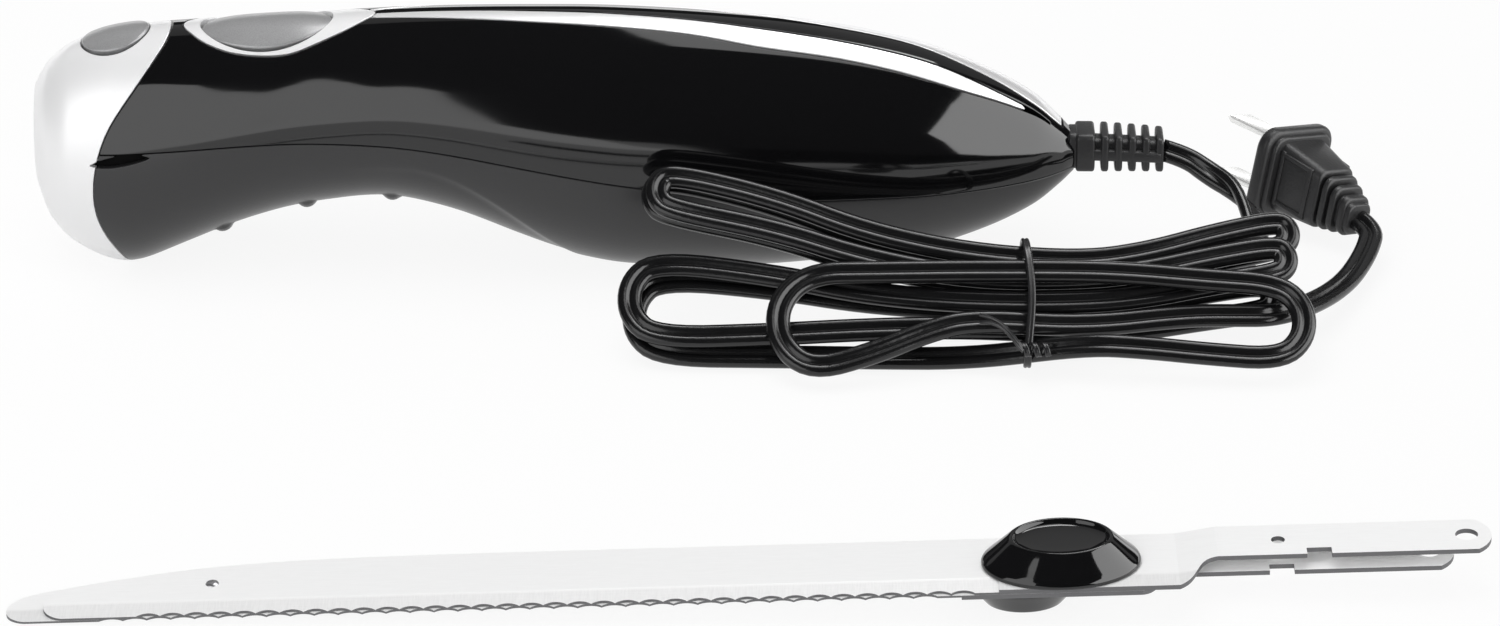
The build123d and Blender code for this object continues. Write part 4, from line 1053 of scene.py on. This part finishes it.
grip_rows = [
    slab(-0.0008, 0.0025, 0.0074, 0.0070, 0.0020, 0.0005),
    [(0.0, 0.0068, 0.0068, 0.0022), (0.0100, 0.0082, 0.0090, 0.0022)],
    slab(0.0004, 0.0022, 0.0084, 0.0088, 0.0022, 0.0005),
    slab(0.0030, 0.0046, 0.0096, 0.0106, 0.0024, 0.0005),
    slab(0.0053, 0.0068, 0.0106, 0.0122, 0.0026, 0.0005),
    slab(0.0074, 0.0196, 0.0114, 0.0136, 0.0024, 0.0007, 0.0144, 0.0164),
    slab(0.0184, 0.0202, 0.0186, 0.0182, 0.0032, 0.0006),
]
plug_parts = [tower(rows, on_plug) for rows in grip_rows]
plug_parts.append(tower(slab(0.0195, 0.0229, 0.0222, 0.0208, 0.0042, 0.0011), on_plug, arc_steps=8))
cross_bars = (
    slab(panel_start, panel_start + 0.0010, 0.0010, 0.0112, 0.0003, 0.0002),
    slab(panel_end - 0.0010, panel_end, 0.0010, 0.0126, 0.0003, 0.0002),
)
long_bar = slab(panel_start, panel_end, 0.0010, 0.0010, 0.0003, 0.0002)
for side in (-1, 1):
    def on_panel(distance, wide, high, side=side):
        lean = panel_side + (distance - panel_start) * panel_taper
        return on_plug(distance, side * (lean + wide), high)

    bars = [tower(rows, on_panel) for rows in cross_bars]
    bars += [tower(long_bar, shifted(on_panel, 0, rise * panel_half_height)) for rise in (-1, 1)]
    plug_parts += [(points, [face[::side] for face in faces]) for points, faces in bars]
plug = smooth_by_angle("mains_plug", *heap(plug_parts), moulded_black)
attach(plug, "handle")
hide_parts("plug_body")
prong_rows = slab(0.0222, 0.0399, 0.0063, 0.0015, 0.0004, 0.00025)[:-5]
prong_rows += [(0.0384, 0.0063, 0.0015, 0.0004), (0.0399, 0.0048, 0.0008, 0.0003)]
prong_parts = [tower(prong_rows, shifted(on_plug, 0, rise * half_prong_spacing)) for rise in (-1, 1)]
plated = Finish("plated_prongs", (0.94, 0.94, 0.93, 1), 0.25, metallic=0.55)
plated.feed(roughness=plated.noise(900.0, 3.0, plated.stretched(1, 8, 8)) * 0.2 + 0.15)
prongs = smooth_by_angle("plated_prongs", *heap(prong_parts), plated)
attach(prongs, "handle")
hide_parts("plug_prongs")

# Tie: black plastic ribbon with a wire in it, drawn round the waist of the hank, twisted
# into a knot at the front and left with a short double tail.
tie_corners = [
    (0.0253, -0.0012), (0.0253, 0.0082), (0.0192, 0.0131), (-0.0005, 0.0120),
    (-0.0056, 0.0100), (-0.0056, 0.0048), (0.0006, 0.0014), (0.0140, -0.0005),
]
ribbon_section = twin_section(0.00042, 0.00045, 140, 7) * (1, 8 / 9)
knot_along, knot_up, knot_off = -0.0016, -0.0042, 0.0116
knot_turns, knot_half_pitch = 2.5, 0.0011
knot_radius_up, knot_radius_off = 0.0014, 0.0010
knot_steps, knot_scale = 90, 0.8
tie_sway, tie_wave = 0.0006, 170
tail_gap, tail_steps, tail_flare = 0.00042, 48, 1.2
outline = np.array(tie_corners)
for _ in range(4):
    after = np.roll(outline, -1, axis=0)
    outline = np.stack((outline * 0.75 + after * 0.25, outline * 0.25 + after * 0.75), axis=1).reshape(-1, 2)
tie_line = np.array([on_hank(tie_sway * math.sin(up * tie_wave), up, off) for up, off in outline])
tie_finish = Finish("tie_black", (0.014, 0.014, 0.015, 1), 0.24)
tie_finish.mottle(800.0, 0.18, 0.12)
band = sweep("flex_tie", tie_line, ribbon_section, tie_line - tie_line.mean(0), tie_finish, closed=True)


def knot_points(radius_up, radius_off):
    """Points of a helix along the hank, of an oval section."""
    points = []
    for turn in np.linspace(0, knot_turns * 2 * math.pi, knot_steps):
        up, off = knot_up + radius_up * math.cos(turn), knot_off + radius_off * math.sin(turn)
        points.append(on_hank(knot_along + knot_half_pitch * turn / math.pi, up, off))
    return np.array(points)


knot_line = knot_points(knot_radius_up, knot_radius_off)
from_heart = knot_line - knot_points(0, 0)
knot = sweep("flex_tie_knot", knot_line, ribbon_section * knot_scale, from_heart, tie_finish)
tail_corners = np.array([
    on_hank(along, up, off)
    for along, up, off in (
        (-0.0016, -0.0046, 0.0124), (-0.0028, -0.0036, 0.0134), (-0.0046, -0.0014, 0.0141),
        (-0.0070, 0.0008, 0.0141), (-0.0092, 0.0019, 0.0138), (-0.0108, 0.0023, 0.0135),
    )
])
tail_middle = smooth_outline(tail_corners, count=tail_steps, closed=False)
spread = 1 + np.linspace(0, 1, tail_steps) ** 4 * tail_flare
tails = []
for word, lift in (("upper", tail_gap), ("lower", -tail_gap)):
    line = tail_middle + np.outer(lift * spread, on_hank(0, 1, 0) - on_hank(0, 0, 0))
    tails.append(sweep("flex_tie_tail_" + word, line, ribbon_section * (0.45, 0.95), off_hank, tie_finish))
for piece in (band, knot, *tails):
    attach(piece, "handle")
    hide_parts("cord_tie")

# Finger guards: two gloss black oval hubs, one moulded on each blade, with a dished top
# inside a narrow rounded rim.
blade_tilt = math.radians(1.8660834606587082)
blade_shift = Vector((-0.145398, -0.08225, 0.001025))
blade_face, blade_offset = 0.001025, 0.0075
hub_half_length, hub_half_width, hub_height, hub_station = 0.0161, 0.0115, 0.0062, 0.2046
lower_share = 0.75
# Shares of the half sizes and of the height, from the blade outwards.
hub_profile = [
    (0.0, 0.0), (0.97, 0.0), (0.99, 0.012), (1.0, 0.05), (1.0, 0.11), (0.990, 0.17), (0.965, 0.24),
    (0.925, 0.335), (0.88, 0.44), (0.83, 0.56), (0.78, 0.68), (0.73, 0.80), (0.690, 0.895), (0.668, 0.945),
    (0.655, 0.975), (0.640, 0.996), (0.622, 1.0), (0.606, 0.990), (0.596, 0.965), (0.588, 0.925),
    (0.578, 0.885), (0.562, 0.850), (0.535, 0.828), (0.46, 0.812), (0.34, 0.800), (0.20, 0.794), (0.0, 0.792),
]


def on_blades(along, across, high):
    """Place in the blade set's own frame, tip at nought, laid out on the worktop."""
    turned = Vector((
        along * math.cos(blade_tilt) - high * math.sin(blade_tilt),
        across,
        along * math.sin(blade_tilt) + high * math.cos(blade_tilt),
    ))
    return blade_shift + turned


def lathe(name, profile, place, finish, count=112, degrees=50.0):
    """Oval turned form from rows of width share and rise, closed to a point at both ends."""
    rows = [row for row in profile if row[0] > 0]
    points = []
    for share, rise in rows:
        for step in range(count):
            turn = 2 * math.pi * step / count
            points.append(place(share * math.cos(turn), share * math.sin(turn), rise))
    faces = ring_faces(len(rows), count, capped=False)
    first, last, top = len(points), len(points) + 1, len(points) - count
    points += [place(0, 0, profile[0][1]), place(0, 0, profile[-1][1])]
    for step in range(count):
        after = (step + 1) % count
        faces += [(first, after, step), (last, top + step, top + after)]
    return smooth_by_angle(name, points, faces, finish, degrees)


def guard_place(offset, share, facing):
    """Placing function of a guard: its offset along the blades, share of full size, and side."""
    return lambda wide, deep, rise: on_blades(
        hub_station + offset + wide * hub_half_length * share,
        facing * deep * hub_half_width * share,
        facing * (blade_face + rise * hub_height),
    )


for name, node, body, place in (
    ("upper_finger_guard", "hub_upper", "upper_blade_set", guard_place(blade_offset, 1, 1)),
    ("lower_finger_guard", "hub_lower", "lower_blade_set", guard_place(0, lower_share, -1)),
):
    guard = lathe(name, hub_profile, place, gloss_black)
    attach(guard, body)
    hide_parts(node)

# Blade rivet: domed steel pin near the tip, fixed in the upper blade and free to slide in
# the slot of the lower one.
rivet_along, rivet_across = 0.0335 + blade_offset, 0.0010
millimetre = 0.001
# Radius in millimetres, and height in shares of the blades' outer faces.
rivet_profile = [
    (0.0, -1.40), (0.75, -1.38), (1.15, -1.28), (1.35, -1.10), (1.35, -1.05), (0.87, -1.05), (0.87, 1.0),
    (1.35, 1.0), (1.35, 1.06), (1.28, 1.2), (1.10, 1.32), (0.80, 1.42), (0.45, 1.47), (0.0, 1.49),
]


def rivet_place(wide, deep, rise):
    return on_blades(rivet_along + wide * millimetre, rivet_across + deep * millimetre, rise * blade_face)


pin_steel = Finish("pin_steel", (0.42, 0.42, 0.43, 1), 0.3, metallic=0.9)
pin_steel.mottle(1500.0, 0.2, 0.2, detail=3.0)
rivet = lathe("blade_pin", rivet_profile, rivet_place, pin_steel, count=40, degrees=30.0)
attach(rivet, "upper_blade_set")
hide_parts("blade_rivet")

# Blades: stamped steel, brushed along the face and ground across at the cutting edge, which
# lies in front of edge_line. Their cut sides are painted dark grey: painted shade for the thin
# shadow line along the blade edges.
edge_line, edge_sharpness = 0.0874, 900.0
ground = Finish("blade_steel", (0.95, 0.95, 0.95, 1), 0.4, metallic=0.12)
brushed = ground.noise(200.0, 4.0, ground.stretched(1, 16, 4))
cross_ground = ground.noise(260.0, 3.0, ground.stretched(12, 1, 1))
blade_sides = ground.node("ShaderNodeSeparateXYZ", None, {"Vector": ground})
edge_band = (ground.take(blade_sides, "Y") * -edge_sharpness - edge_sharpness * edge_line).clamp()
shade = (brushed * 0.25 + cross_ground * edge_band * 0.5 + edge_band * 0.25).clamp()
ground.feed(
    roughness=brushed * 0.2 + 0.28 + edge_band * 0.06,
    base_color=shade.blend((0.97, 0.97, 0.97, 1), (0.66, 0.66, 0.66, 1)),
)
ground.bump(brushed * (1 - edge_band) + cross_ground * edge_band, 0.000015)
# Cut sides of the blades, the upright faces: dark grey, painted shade in place of the shadow line along the
# edges.
painted_edge_shade = Finish("blade_cut_edge_painted_shade", (0.16, 0.16, 0.165, 1), 0.45, metallic=0.6)
painted_edge_shade.mottle(1200.0, 0.35, 0.2, detail=3.0)

# Inner parts: the motor, worm drive, switch and springs inside the handle keep the shapes of
# their solids, each in the finish of its stuff: steel, brass, copper, iron, plastic, carbon.
steel = Finish("steel", (0.90, 0.90, 0.90, 1), 0.42, metallic=0.35)
grain = steel.noise(260.0, 4.0, steel.stretched(1, 14, 14))
steel.feed(roughness=grain * 0.22 + 0.30)
steel.bump(grain, 0.000012)
inner_finishes = {"steel": steel, "plug_black": moulded_black}
for name, color, roughness, metallic in (
    ("brass", (0.66, 0.50, 0.22, 1), 0.3, 1.0),
    ("copper", (0.55, 0.22, 0.09, 1), 0.35, 0.9),
    ("core_steel", (0.20, 0.20, 0.21, 1), 0.45, 0.9),
    ("gear_plastic", (0.72, 0.70, 0.60, 1), 0.4, 0.0),
    ("carbon", (0.03, 0.03, 0.03, 1), 0.6, 0.0),
):
    finish = Finish(name, color, roughness, metallic=metallic)
    spread = finish.noise(350.0, 4.0)
    darker = tuple(channel * 0.72 for channel in color[:3]) + (1,)
    finish.feed(base_color=spread.blend(darker, color), roughness=spread * 0.2 + (roughness - 0.1))
    finish.bump(spread, 0.00004)
    inner_finishes[name] = finish
replaced = {
    "upper_housing", "lower_housing", "nose_cap", "trigger_bezel", "trim_stripe_near", "trim_stripe_far",
    "power_trigger", "release_button", "strain_relief", "plug_body", "plug_prongs", "cord_lead", "cord_hank",
    "cord_tail", "cord_tie", "hub_upper", "hub_lower", "blade_rivet",
}
blades = {"blade_upper", "blade_lower"}
for entry in frame["record"]["subparts"]:
    if entry["node"] in replaced:
        continue
    mesh = nodes[entry["node"]].data
    mesh.materials.clear()
    if entry["node"] not in blades:
        mesh.materials.append(inner_finishes[entry["material_slot"]].material)
        continue
    mesh.materials.append(ground.material)
    mesh.materials.append(painted_edge_shade.material)
    # Upright faces are the cut sides, in the painted edge shade.
    for face in mesh.polygons:
        face.material_index = int(abs(face.normal.z) < 0.5)
